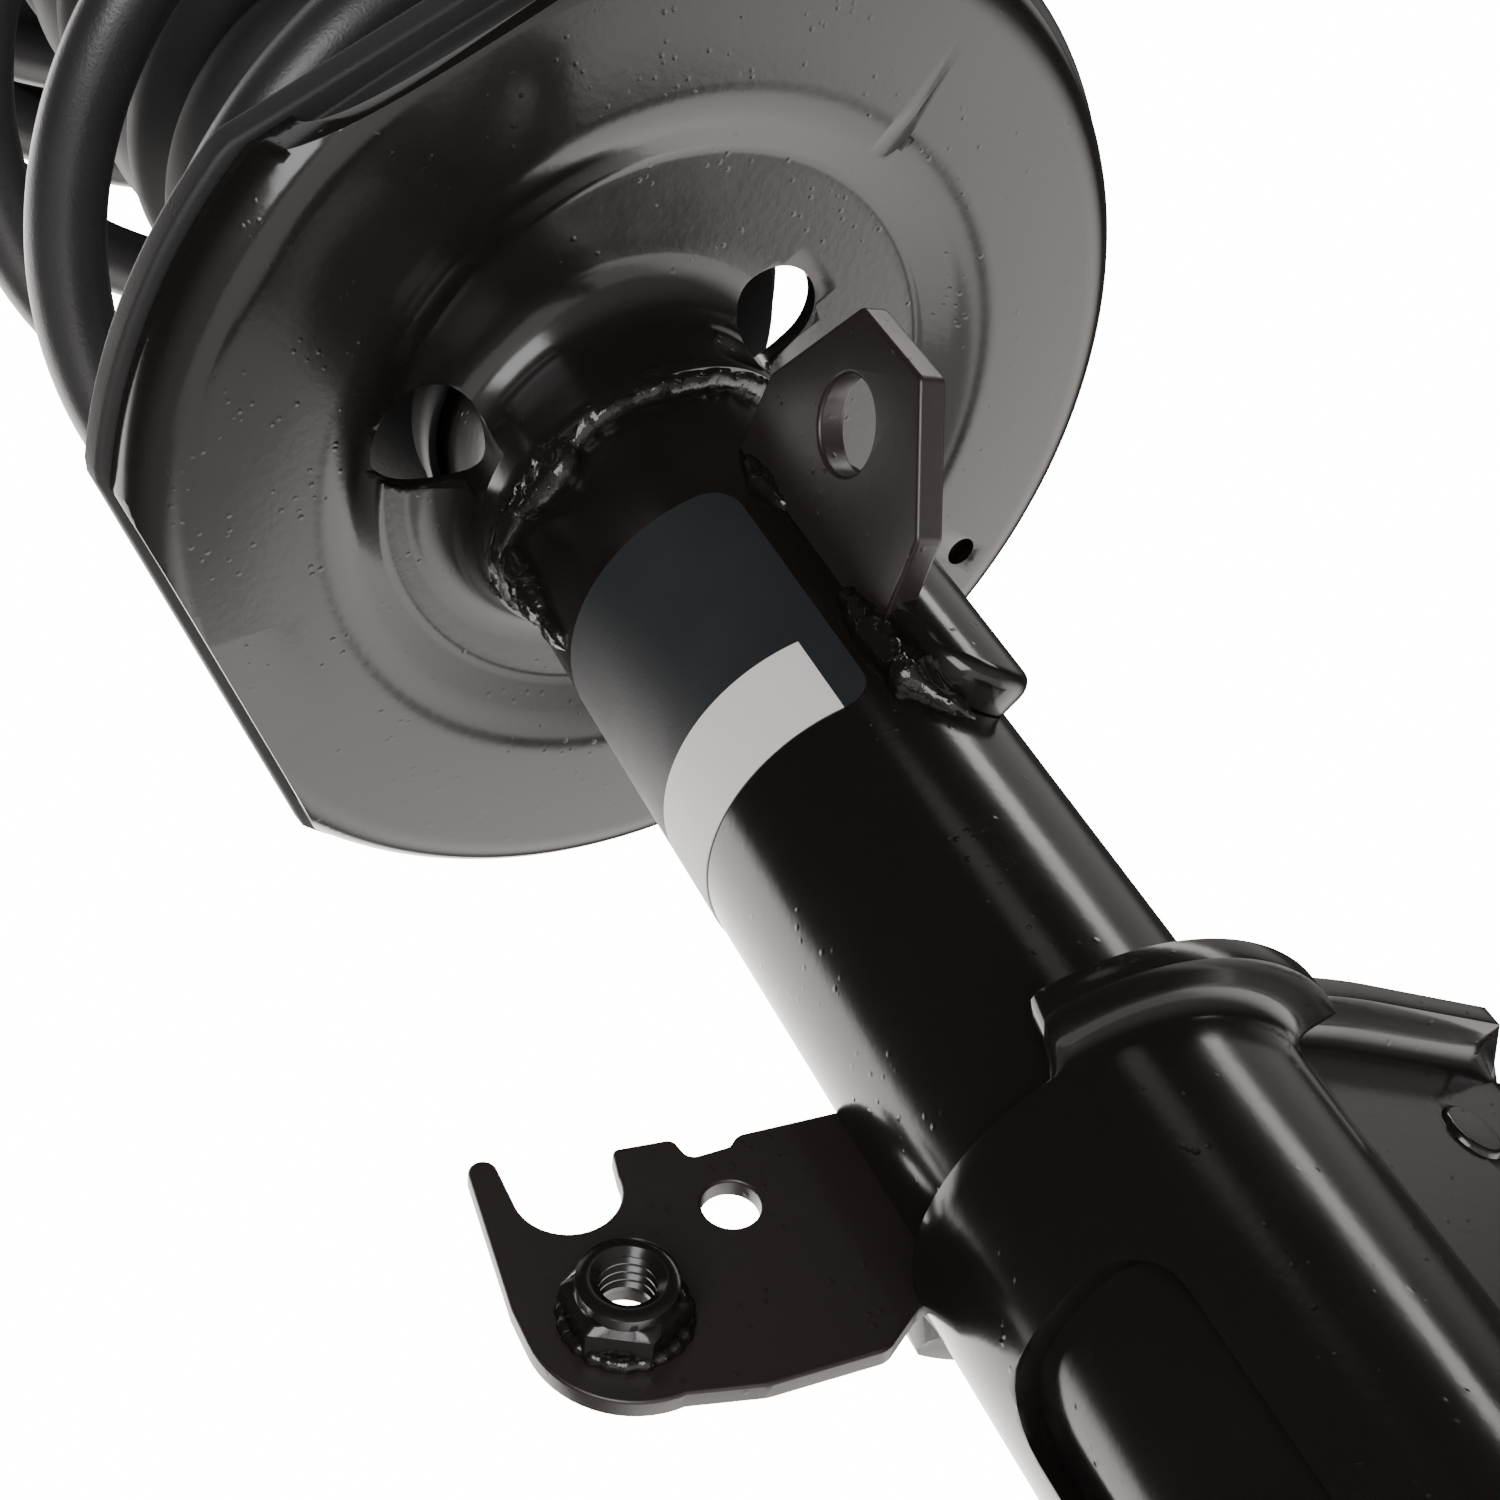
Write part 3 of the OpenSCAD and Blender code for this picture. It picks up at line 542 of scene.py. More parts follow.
class RingTree:
    """Sets copies of one mesh round a circle."""

    def __init__(self) -> None:
        """Builds the tree once."""
        tree = bpy.data.node_groups.new("ring of copies", "GeometryNodeTree")
        face = tree.interface
        face.new_socket("Geometry", in_out="INPUT", socket_type="NodeSocketGeometry")
        self.ids: dict[str, str] = {}
        for name, kind in (("Count", "NodeSocketInt"), ("Radius", "NodeSocketFloat"),
                           ("Height", "NodeSocketFloat"), ("Material", "NodeSocketMaterial")):
            self.ids[name] = face.new_socket(name, in_out="INPUT", socket_type=kind).identifier
        face.new_socket("Geometry", in_out="OUTPUT", socket_type="NodeSocketGeometry")
        add, link = NodeTools.add, tree.links.new
        start, end = NodeTools.ends(tree)
        ring = add(tree, "GeometryNodeMeshCircle", fill_type="NONE")
        link(start.outputs["Count"], ring.inputs["Vertices"])
        link(start.outputs["Radius"], ring.inputs["Radius"])
        lift = add(tree, "ShaderNodeCombineXYZ")
        link(start.outputs["Height"], lift.inputs["Z"])
        raised = add(tree, "GeometryNodeSetPosition")
        link(ring.outputs["Mesh"], raised.inputs["Geometry"])
        link(lift.outputs["Vector"], raised.inputs["Offset"])
        copies = add(tree, "GeometryNodeInstanceOnPoints")
        link(raised.outputs["Geometry"], copies.inputs["Points"])
        link(start.outputs["Geometry"], copies.inputs["Instance"])
        solid = add(tree, "GeometryNodeRealizeInstances")
        link(copies.outputs["Instances"], solid.inputs["Geometry"])
        paint = add(tree, "GeometryNodeSetMaterial")
        link(solid.outputs["Geometry"], paint.inputs["Geometry"])
        link(start.outputs["Material"], paint.inputs["Material"])
        link(paint.outputs["Geometry"], end.inputs["Geometry"])
        self.tree = tree

    def repeat(self, body: bpy.types.Object, count: int, radius: float, height: float,
               finish: bpy.types.Material, sharp: float = 35) -> bpy.types.Object:
        """Repeats a mesh built at the origin round a circle.

        Args:
            body: Mesh object to repeat; it becomes the whole ring.
            count: Number of copies.
            radius: Radius of the circle in millimetres.
            height: Height of the circle.
            finish: Material of the copies.
            sharp: Angle past which an edge stays sharp.

        Returns:
            The same object, now the ring of copies.
        """
        nodes = body.modifiers.new("ring", "NODES")
        nodes.node_group = self.tree
        values = {"Count": count, "Radius": radius * MM, "Height": height * MM,
                  "Material": finish}
        for key, value in values.items():
            nodes[self.ids[key]] = value
        return settle(body, sharp)


# ---------------------------------------------------------------- finishes

class CoatRelief:
    """Shader group for relief and soiling shared by every finish."""

    @staticmethod
    def build() -> bpy.types.NodeTree:
        """Makes the group: peel, specks and blotches from Object coordinates."""
        tree = bpy.data.node_groups.new("surface relief", "ShaderNodeTree")
        face = tree.interface
        face.new_socket("Vector", in_out="INPUT", socket_type="NodeSocketVector")
        for name, value in (("Peel Scale", 700.0), ("Peel", 0.3), ("Speck Scale", 500.0),
                            ("Specks", 0.2), ("Blotch Scale", 30.0)):
            socket = face.new_socket(name, in_out="INPUT", socket_type="NodeSocketFloat")
            socket.default_value = value
        for name in ("Height", "Blotch"):
            face.new_socket(name, in_out="OUTPUT", socket_type="NodeSocketFloat")
        add, link = NodeTools.add, tree.links.new
        start, end = NodeTools.ends(tree)
        peel = add(tree, "ShaderNodeTexNoise", Detail=2.0, Roughness=0.5)
        blotch = add(tree, "ShaderNodeTexNoise", Detail=4.0, Roughness=0.6)
        cells = add(tree, "ShaderNodeTexVoronoi", feature="F1")
        sparse = add(tree, "ShaderNodeTexNoise", Detail=1.0)
        link(start.outputs["Peel Scale"], peel.inputs["Scale"])
        link(start.outputs["Blotch Scale"], blotch.inputs["Scale"])
        link(start.outputs["Speck Scale"], cells.inputs["Scale"])
        link(NodeTools.math(tree, "MULTIPLY", start.outputs["Speck Scale"], 0.23),
             sparse.inputs["Scale"])
        for node in (peel, blotch, cells, sparse):
            link(start.outputs["Vector"], node.inputs["Vector"])
        near = NodeTools.math(tree, "SUBTRACT", 0.22, cells.outputs["Distance"])
        dots = NodeTools.math(tree, "MAXIMUM", NodeTools.math(tree, "MULTIPLY", near, 4.5), 0.0)
        few = NodeTools.math(tree, "GREATER_THAN", sparse.outputs["Fac"], 0.53)
        mask = NodeTools.math(tree, "MULTIPLY", dots, few)
        height = NodeTools.math(
            tree, "ADD", NodeTools.math(tree, "MULTIPLY", peel.outputs["Fac"],
                                        start.outputs["Peel"]),
            NodeTools.math(tree, "MULTIPLY", mask, start.outputs["Specks"]))
        link(height, end.inputs["Height"])
        link(blotch.outputs["Fac"], end.inputs["Blotch"])
        return tree


@dataclass(frozen=True)
class Finish:
    """One material: its colours, gloss and relief."""

    name: str
    colour: tuple[float, float, float]
    second: tuple[float, float, float]
    metallic: float = 0.0
    rough: tuple[float, float] = (0.3, 0.4)
    peel_scale: float = 700.0
    peel: float = 0.3
    speck_scale: float = 450.0
    specks: float = 0.0
    depth: float = 0.00012
    specular: float = 0.5
    stretch: tuple[float, float, float] = (1.0, 1.0, 1.0)

    def material(self, relief: bpy.types.NodeTree) -> bpy.types.Material:
        """Builds the material with its own shader round the shared relief group.

        Args:
            relief: The shared relief group.

        Returns:
            The new material.
        """
        made = bpy.data.materials.new(self.name)
        made.use_nodes = True
        tree = made.node_tree
        add, link = NodeTools.add, tree.links.new
        shader = tree.nodes["Principled BSDF"]
        shader.inputs["Metallic"].default_value = self.metallic
        shader.inputs["Specular IOR Level"].default_value = self.specular
        coords = add(tree, "ShaderNodeTexCoord")
        scale = add(tree, "ShaderNodeMapping")
        scale.inputs["Scale"].default_value = self.stretch
        link(coords.outputs["Object"], scale.inputs["Vector"])
        group = tree.nodes.new("ShaderNodeGroup")
        group.node_tree = relief
        for key, value in (("Peel Scale", self.peel_scale), ("Peel", self.peel),
                           ("Speck Scale", self.speck_scale), ("Specks", self.specks)):
            group.inputs[key].default_value = value
        link(scale.outputs["Vector"], group.inputs["Vector"])
        ramp = add(tree, "ShaderNodeMapRange", clamp=True)
        ramp.inputs["From Min"].default_value = 0.35
        ramp.inputs["From Max"].default_value = 0.68
        ramp.inputs["To Min"].default_value = self.rough[0]
        ramp.inputs["To Max"].default_value = self.rough[1]
        link(group.outputs["Blotch"], ramp.inputs["Value"])
        link(ramp.outputs["Result"], shader.inputs["Roughness"])
        tint = add(tree, "ShaderNodeMix", data_type="RGBA")
        tint.inputs[6].default_value = (*self.colour, 1)
        tint.inputs[7].default_value = (*self.second, 1)
        link(group.outputs["Blotch"], tint.inputs[0])
        link(tint.outputs[2], shader.inputs["Base Color"])
        bump = add(tree, "ShaderNodeBump")
        bump.inputs["Distance"].default_value = self.depth
        bump.inputs["Strength"].default_value = 1.0
        link(group.outputs["Height"], bump.inputs["Height"])
        link(bump.outputs["Normal"], shader.inputs["Normal"])
        return made


DIP = Finish("gloss_dip_coat", (0.0065, 0.0056, 0.0052), (0.0095, 0.0078, 0.007),
             rough=(0.14, 0.2), peel=0.12, specks=0.4, depth=0.00010)
SHEET = Finish("thin_dip_coat", (0.015, 0.0115, 0.0105), (0.021, 0.016, 0.014), rough=(0.3, 0.38),
               peel=0.2, specks=0.5, depth=0.00012)
BEAD = Finish("dip_coat_on_weld", (0.005, 0.0045, 0.004), (0.012, 0.009, 0.007), rough=(0.1, 0.2),
              peel_scale=1400, peel=0.5, specks=0.9, speck_scale=900, depth=0.00018)
SPRING = Finish("satin_powder_coat", (0.018, 0.018, 0.019), (0.028, 0.028, 0.029),
                rough=(0.32, 0.42), peel_scale=1800, peel=0.4, specks=0.1)
SATIN = Finish("satin_black_paint", (0.016, 0.016, 0.017), (0.03, 0.029, 0.028), rough=(0.3, 0.42),
               peel_scale=900, peel=0.3, specks=0.1)
RUBBER = Finish("moulded_rubber", (0.014, 0.014, 0.0145), (0.026, 0.025, 0.025),
                rough=(0.55, 0.72), peel_scale=2500, peel=0.5, specks=0.2, specular=0.35)
BOOT = Finish("boot_rubber", (0.012, 0.012, 0.0125), (0.022, 0.022, 0.022), rough=(0.45, 0.6),
              peel_scale=1600, peel=0.3, specular=0.4)
STEEL = Finish("zinc_plate", (0.52, 0.51, 0.47), (0.62, 0.59, 0.5), metallic=1.0,
               rough=(0.26, 0.4), peel_scale=1500, peel=0.15)
DRAWN = Finish("drawn_steel", (0.4, 0.4, 0.41), (0.5, 0.5, 0.5), metallic=1.0, rough=(0.28, 0.42),
               peel_scale=500, peel=0.2, stretch=(1, 1, 0.08))
CHROME = Finish("hard_chrome", (0.72, 0.72, 0.74), (0.78, 0.78, 0.8), metallic=1.0,
                rough=(0.06, 0.12), peel_scale=2500, peel=0.05)
SINTER = Finish("sintered_steel", (0.25, 0.24, 0.23), (0.34, 0.33, 0.31), metallic=0.9,
                rough=(0.5, 0.65), peel_scale=3000, peel=0.6)
BRONZE = Finish("bush_bronze", (0.5, 0.31, 0.13), (0.58, 0.38, 0.17), metallic=1.0,
                rough=(0.3, 0.42), peel_scale=1200, peel=0.2)
MOULDED = Finish("race_plastic", (0.035, 0.035, 0.038), (0.05, 0.05, 0.052), rough=(0.42, 0.55),
                 peel_scale=2600, peel=0.4)
CAGE = Finish("cage_plastic", (0.42, 0.25, 0.09), (0.5, 0.31, 0.12), rough=(0.4, 0.5),
              peel_scale=2200, peel=0.3)
IVORY = Finish("stop_plastic", (0.62, 0.58, 0.44), (0.68, 0.64, 0.5), rough=(0.4, 0.5),
               peel_scale=2200, peel=0.3)
SEAL_BAND = Finish("piston_band_plastic", (0.05, 0.18, 0.17), (0.07, 0.22, 0.2), rough=(0.4, 0.5),
                   peel_scale=2200, peel=0.2)
FOAM = Finish("cellular_foam", (0.42, 0.3, 0.12), (0.55, 0.41, 0.19), rough=(0.7, 0.85),
              peel_scale=1300, peel=0.8, speck_scale=700, specks=-0.6, depth=0.0003)

LABEL_FILM = Finish("label_film", (0.0125, 0.014, 0.0155), (0.019, 0.021, 0.0235),
                    rough=(0.5, 0.62), peel_scale=2600, peel=0.25)
LABEL_BAND = (0.75, 0.74, 0.71, 1.0)


class Palette:
    """Holds each finish's material, made once."""

    def __init__(self) -> None:
        """Makes the shared groups."""
        self.relief = CoatRelief.build()
        self.made: dict[str, bpy.types.Material] = {}
        self.sweeps = SweepTree()
        self.rings = RingTree()

    def of(self, finish: Finish) -> bpy.types.Material:
        """Gives the material of a finish."""
        if finish.name not in self.made:
            self.made[finish.name] = finish.material(self.relief)
        return self.made[finish.name]

    def label(self, band_top: float, band_end: float) -> bpy.types.Material:
        """Gives the label's material: dark film with one pale band along its lower edge.

        Args:
            band_top: Height of the band's upper edge, in millimetres in the row frame.
            band_end: Direction in degrees where the band stops short of the label's edge.

        Returns:
            The new material.
        """
        made = LABEL_FILM.material(self.relief)
        tree = made.node_tree
        shader = tree.nodes["Principled BSDF"]
        dark = shader.inputs["Base Color"].links[0].from_socket
        coords = NodeTools.add(tree, "ShaderNodeTexCoord")
        split = NodeTools.add(tree, "ShaderNodeSeparateXYZ")
        tree.links.new(coords.outputs["Object"], split.inputs[0])
        under = NodeTools.math(tree, "LESS_THAN", split.outputs["Z"], band_top * MM)
        edge = math.radians(band_end)
        beyond = NodeTools.math(
            tree, "ADD", NodeTools.math(tree, "MULTIPLY", split.outputs["X"], -math.sin(edge)),
            NodeTools.math(tree, "MULTIPLY", split.outputs["Y"], math.cos(edge)))
        band = NodeTools.math(tree, "MULTIPLY", under,
                              NodeTools.math(tree, "LESS_THAN", beyond, 0.0))
        mix = NodeTools.add(tree, "ShaderNodeMix", data_type="RGBA")
        mix.inputs[7].default_value = LABEL_BAND
        tree.links.new(band, mix.inputs[0])
        tree.links.new(dark, mix.inputs[6])
        tree.links.new(mix.outputs[2], shader.inputs["Base Color"])
        return made


class Body(Enum):
    """CAD body that a piece can ride on."""

    MOUNT = "top_mount"
    UPPER = "upper_seat"
    STRUT = "strut_body"


def dress(piece: bpy.types.Object, finish: bpy.types.Material, on: Body, slot: str,
          *nodes: str) -> bpy.types.Object:
    """Gives a piece its finish and its CAD body, and hides the CAD nodes it stands for.

    Args:
        piece: The piece.
        finish: Its material.
        on: CAD body it rides on.
        slot: Material slot of the record it takes its finish from; not used.
        nodes: CAD nodes it replaces.

    Returns:
        The piece.
    """
    piece.data.materials.clear()
    piece.data.materials.append(finish)
    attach(piece, on.value)
    if nodes:
        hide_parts(*nodes)
    LOG.info("%s: %d faces on %s", piece.name, len(piece.data.polygons), on.value)
    return piece


def thread(radius: float, low: float, high: float, pitch: float,
           depth: float) -> list[Point2]:
    """Gives the radius and height of each point down the flank of a screw thread."""
    count = max(2, round((high - low) / pitch))
    step = (high - low) / count
    out: list[Point2] = []
    for i in range(count):
        z = low + i * step
        out += [(radius - depth, z), (radius - depth, z + 0.15 * step),
                (radius, z + 0.45 * step), (radius, z + 0.6 * step)]
    return out + [(radius - depth, high)]


# ---------------------------------------------------------------- the strut's pieces

SEAT_Z = -312.0
TUBE_R = 22.5


@dataclass
class WeldBand:
    """Flat uneven weld laid on the tube along a few marked spots."""

    spots: list[tuple[float, float, float, float]]
    seed: int
    closed: bool = False
    steps: int = 10
    spacing: float = 0.8

    def along(self) -> list[tuple[float, float, float, float]]:
        """Reads the spots into closely spaced stations.

        Returns:
            Direction, height, width and thickness at each station.
        """
        spots = self.spots + ([(self.spots[0][0] + 360,) + self.spots[0][1:]]
                              if self.closed else [])
        out = []
        for a, b in zip(spots, spots[1:]):
            length = math.hypot(math.radians(b[0] - a[0]) * TUBE_R, b[1] - a[1])
            count = max(2, round(length / self.spacing))
            for i in range(count):
                t = i / count
                t = t * t * (3 - 2 * t) * 0.4 + t * 0.6
                out.append(tuple(p + (q - p) * t for p, q in zip(a, b)))
        return out if self.closed else out + [spots[-1]]

    def build(self, name: str) -> bpy.types.Object:
        """Builds the band.

        Args:
            name: Name of the new mesh.

        Returns:
            The band as a closed mesh.
        """
        rows = []
        stations = self.along()
        for i, (angle, z, width, thick) in enumerate(stations):
            before = stations[i - 1] if i or self.closed else stations[0]
            after = stations[(i + 1) % len(stations)] if i + 1 < len(stations) or self.closed \
                else stations[-1]
            run = math.radians(((after[0] - before[0]) + 180) % 360 - 180) * TUBE_R
            climb = after[1] - before[1]
            length = max(1e-6, math.hypot(run, climb))
            lump = noise.noise(Vector((i * 0.19, self.seed, 0.0)))
            ripple = noise.noise(Vector((i * 0.75, self.seed, 5.0)))
            end = 1.0 if self.closed else min(1.0, 0.25 + min(i, len(stations) - 1 - i) / 4)
            half = width / 2 * (1 + 0.35 * lump) * end
            height = thick * (1 + 0.4 * lump + 0.22 * ripple) * end
            row = []
            for k in range(self.steps + 1):
                u = 2 * k / self.steps - 1
                bump = noise.noise(Vector((i * 0.4, k * 0.55, self.seed + 9.0)))
                rise = max(0.0, 1 - u ** 4) ** 0.5 * height * (1 + 0.3 * bump)
                side = u * half + 0.4 * bump
                turn = math.degrees((-climb / length) * side / TUBE_R)
                row.append(polar(TUBE_R - 0.15 + rise, angle + turn, z + run / length * side))
            row += [polar(TUBE_R - 0.5, angle + math.degrees((-climb / length) * v / TUBE_R),
                          z + run / length * v) for v in (half * 0.9, -half * 0.9)]
            rows.append(row)
        shape = Shape()
        shape.grid(rows, True, self.closed, caps=not self.closed)
        return shape.build(name, 70)


@dataclass
class SeatFrame:
    """The leaning frame of the lower spring seat."""

    offset: float = 8.5
    lean: float = 5.6
    heading: float = 316.0

    def place(self, p: Vector) -> Vector:
        """Moves a point from the seat's own frame into the row frame."""
        turn = (Matrix.Rotation(math.radians(self.heading), 4, "Z")
                @ Matrix.Rotation(math.radians(-self.lean), 4, "Y")
                @ Matrix.Rotation(math.radians(-self.heading), 4, "Z"))
        return turn @ p + polar(self.offset, self.heading, SEAT_Z)

    def plane(self, r: float, angle: float, rise: float) -> float:
        """Height of the seat's plane, raised by rise, above the point (r, angle)."""
        lean = math.radians(self.lean)
        ahead = r * math.cos(math.radians(angle - self.heading)) - self.offset
        return SEAT_Z + rise / math.cos(lean) + ahead * math.tan(lean)


FRAME = SeatFrame()


@dataclass
class LowerSeat:
    """Pressed spring seat, its neck, its welds and the rubber that lies in it."""

    palette: Palette
    outer_r: float = 82.0
    rim_h: float = 10.5
    rim_r: float = 8.5
    step_r: float = 53.0
    recess: float = 4.0
    sheet: float = 2.6
    neck_r: float = 25.2
    flare: float = 7.5
    trims: tuple[Point2, ...] = ((218.0, 75.0), (130.0, 73.0))
    trim_lap: float = 1.4
    drains: tuple[tuple[float, float, float, float], ...] = (
        (31.0, 297.0, 6.0, 7.5), (32.0, 171.0, 9.0, 8.5))
    vent: Corner = (68.0, 5.0, 2.5)
    pad_in: float = 56.0
    pad_out: float = 84.3
    columns: int = 240

    def neck_end(self, angle: float) -> float:
        """Height of the neck's lower edge in a direction."""
        return -321.5 - 6.5 * math.cos(math.radians(angle - 205))

    def column(self, angle: float) -> list[Vector]:
        """Points of the sheet's underside from the rim to the neck's lower edge."""
        pan = rounded([(self.outer_r, self.rim_h, 0)]
                      + [(x, z, 0) for x, z in arc(self.outer_r - self.rim_r, self.rim_r + 1,
                                                   self.rim_r, -8, -88, 10)]
                      + [(self.step_r, 0, 16), (self.step_r - 8, self.recess, 9),
                         (self.step_r - 10.2, self.recess, 0)], closed=False, steps=6)
        points = [FRAME.place(polar(r, angle, z)) for r, z in pan]
        corner = self.neck_r + self.flare
        fillet = []
        for r, z in arc(corner, 0, self.flare, 90, 180, 9):
            fillet.append(polar(r, angle, FRAME.plane(r, angle, self.recess) - self.flare + z))
        last = points[-1]
        for i in (1, 2, 3):
            points.append(last.lerp(fillet[0], i / 4))
        low, top = self.neck_end(angle), fillet[-1].z
        straight = [polar(self.neck_r, angle, top + (low - top) * i / 3) for i in (1, 2, 3)]
        return points + fillet + straight

    def build(self) -> None:
        """Builds and dresses the seat, its beads and its rubber."""
        rows = [self.column(360 * i / self.columns) for i in range(self.columns)]
        seat = Shape().grid(rows, False, True).build("lower_spring_seat_pressing")
        bm = bmesh.new()
        bm.from_mesh(seat.data)
        bm.normal_update()
        if sum(f.normal.z for f in bm.faces) < 0:
            bmesh.ops.reverse_faces(bm, faces=bm.faces)
        bm.to_mesh(seat.data)
        bm.free()
        wall = seat.modifiers.new("wall", "SOLIDIFY")
        wall.thickness = self.sheet * MM
        wall.offset = 1
        settle(seat)
        cut(seat, self.cutters())
        soften(seat, 0.5, 60)
        dress(seat, self.palette.of(DIP), Body.STRUT, "lower_spring_seat",
              "lower_spring_seat")
        self.beads()
        self.rubber()

    def cutters(self) -> list[bpy.types.Object]:
        """Makes the cutters of the two straight edges, the drains and the small hole."""
        out = []
        for angle, reach in self.trims:
            turn = Matrix.Rotation(math.radians(angle), 3, "Z")
            corners = rounded([(reach, -90, 0), (reach + 60, -90, 0), (reach + 60, 90, 0),
                               (reach, 90, 0)])
            out.append(prism(corners, lambda x, y, h, t=turn: FRAME.place(t @ Vector((x, y, h))),
                             -40, 60))
        for r, angle, below, radius in self.drains:
            out.append(round_bar(polar(r, angle, SEAT_Z - below), polar(r, angle, SEAT_Z + 30),
                                 radius))
        r, angle, radius = self.vent
        out.append(round_bar(FRAME.place(polar(r, angle, -5)), FRAME.place(polar(r, angle, 15)),
                             radius))
        start, end = FRAME.place(polar(43, 280, -1.6)), FRAME.place(polar(58, 280, -3.4))
        out.append(round_bar(start, end, 3.8))
        return out

    def beads(self) -> None:
        """Lays the weld between the neck and the tube, with its long run at one side."""
        finish = self.palette.of(BEAD)
        marks = ((0, 0.5, 4.0, 2.4), (40, 0.5, 4.0, 2.4), (80, 0.4, 4.0, 2.4), (120, 0.2, 4, 2.4),
                 (150, -0.5, 5.0, 2.8), (172, -1.0, 4.0, 2.6), (184, -2.0, 7.0, 3.2),
                 (192, -1.6, 8.5, 3.4), (200, 0.2, 5.5, 2.8), (212, 0.8, 4.5, 2.6),
                 (228, 0.8, 5.0, 2.7), (244, 1.0, 6.5, 2.6), (258, 0.6, 4.5, 2.6),
                 (285, 0.5, 4.0, 2.5), (320, 0.5, 4.0, 2.4))
        spots = [(a, self.neck_end(a) + dz, w, t) for a, dz, w, t in marks]
        ring = WeldBand(spots, 3, True).build("seat_weld_band")
        dress(ring, finish, Body.STRUT, "seat_weld", "seat_weld")
        run = WeldBand([(151, -326.0, 5.0, 2.4), (149, -334.0, 6.0, 2.6), (148, -341.0, 4.0, 1.8),
                        (146.5, -347.0, 2.5, 0.9)], 8)
        dress(run.build("seat_weld_run"), finish, Body.STRUT, "seat_weld")

    def rubber(self) -> None:
        """Builds the rubber that lies in the seat and laps over its rim."""
        flat = rounded([(self.pad_in, 3.7, 1), (73.5, 4.2, 4), (79.0, 8.0, 2), (79.2, 10.9, 0.6),
                        (84.0, 10.9, 1), (self.pad_out, 15.8, 1.4), (75.4, 15.8, 1),
                        (75.3, 9.6, 0.8), (self.pad_in, 9.6, 1)])
        shape = Shape()
        rows = []
        for i in range(self.columns):
            angle = 360 * i / self.columns
            reach = 200.0
            for edge, limit in self.trims:
                toward = math.cos(math.radians(angle - edge))
                if toward > 0.3:
                    reach = min(reach, (limit + self.trim_lap) / toward)
            squeeze = min(1.0, (reach - self.pad_in) / (self.pad_out - self.pad_in))
            rows.append([FRAME.place(polar(self.pad_in + (r - self.pad_in) * squeeze, angle, z))
                         for r, z in flat])
        shape.grid(rows, True, True)
        pad = shape.build("lower_insulator_pad", 45)
        dress(pad, self.palette.of(RUBBER), Body.STRUT, "lower_insulator", "lower_insulator")


@dataclass
class Tube:
    """Strut tube, its closed bottom and its label."""

    palette: Palette
    top: float = -234.0
    bottom: float = -576.0
    wall: float = 2.6
    label_low: float = -394.5
    label_high: float = -349.5
    label_from: float = 71.0
    label_to: float = 238.0
    band: float = 13.2
    band_to: float = 226.0

    def build(self) -> None:
        """Builds and dresses the tube and the label."""
        inner = TUBE_R - self.wall
        section = rounded([(inner, self.bottom, 0.4), (TUBE_R, self.bottom, 0.8),
                           (TUBE_R, self.top, 3.2), (inner - 3, self.top, 0.8),
                           (inner - 3, self.top - 2.5, 0.4), (inner, self.top - 2.5, 0.4)])
        tube = Shape().lathe(section, 256).build("strut_tube_shell", 50)
        dress(tube, self.palette.of(DIP), Body.STRUT, "strut_tube", "strut_tube")
        self.label()

    def label(self) -> None:
        """Builds the label as a thin film with rounded corners."""
        corner, columns, height = 4.5, 120, self.label_high - self.label_low
        arc_len = math.radians(self.label_to - self.label_from) * TUBE_R
        rows = []
        for i in range(columns + 1):
            share = (1 - math.cos(math.pi * i / columns)) / 2
            gap = min(share, 1 - share) * arc_len
            inset = corner - math.sqrt(max(0.0, corner ** 2 - max(0.0, corner - gap) ** 2))
            angle = self.label_from + share * (self.label_to - self.label_from)
            low, high = self.label_low + inset, self.label_high - inset
            section = [(TUBE_R + 0.02, low), (TUBE_R + 0.2, low), (TUBE_R + 0.2, high),
                       (TUBE_R + 0.02, high)]
            rows.append([polar(r, angle, z) for r, z in section])
        film = Shape().grid(rows, True, False, caps=True).build("tube_label_film", 40)
        finish = self.palette.label(self.label_low + self.band, self.band_to)
        dress(film, finish, Body.STRUT, "tube_label", "tube_label")


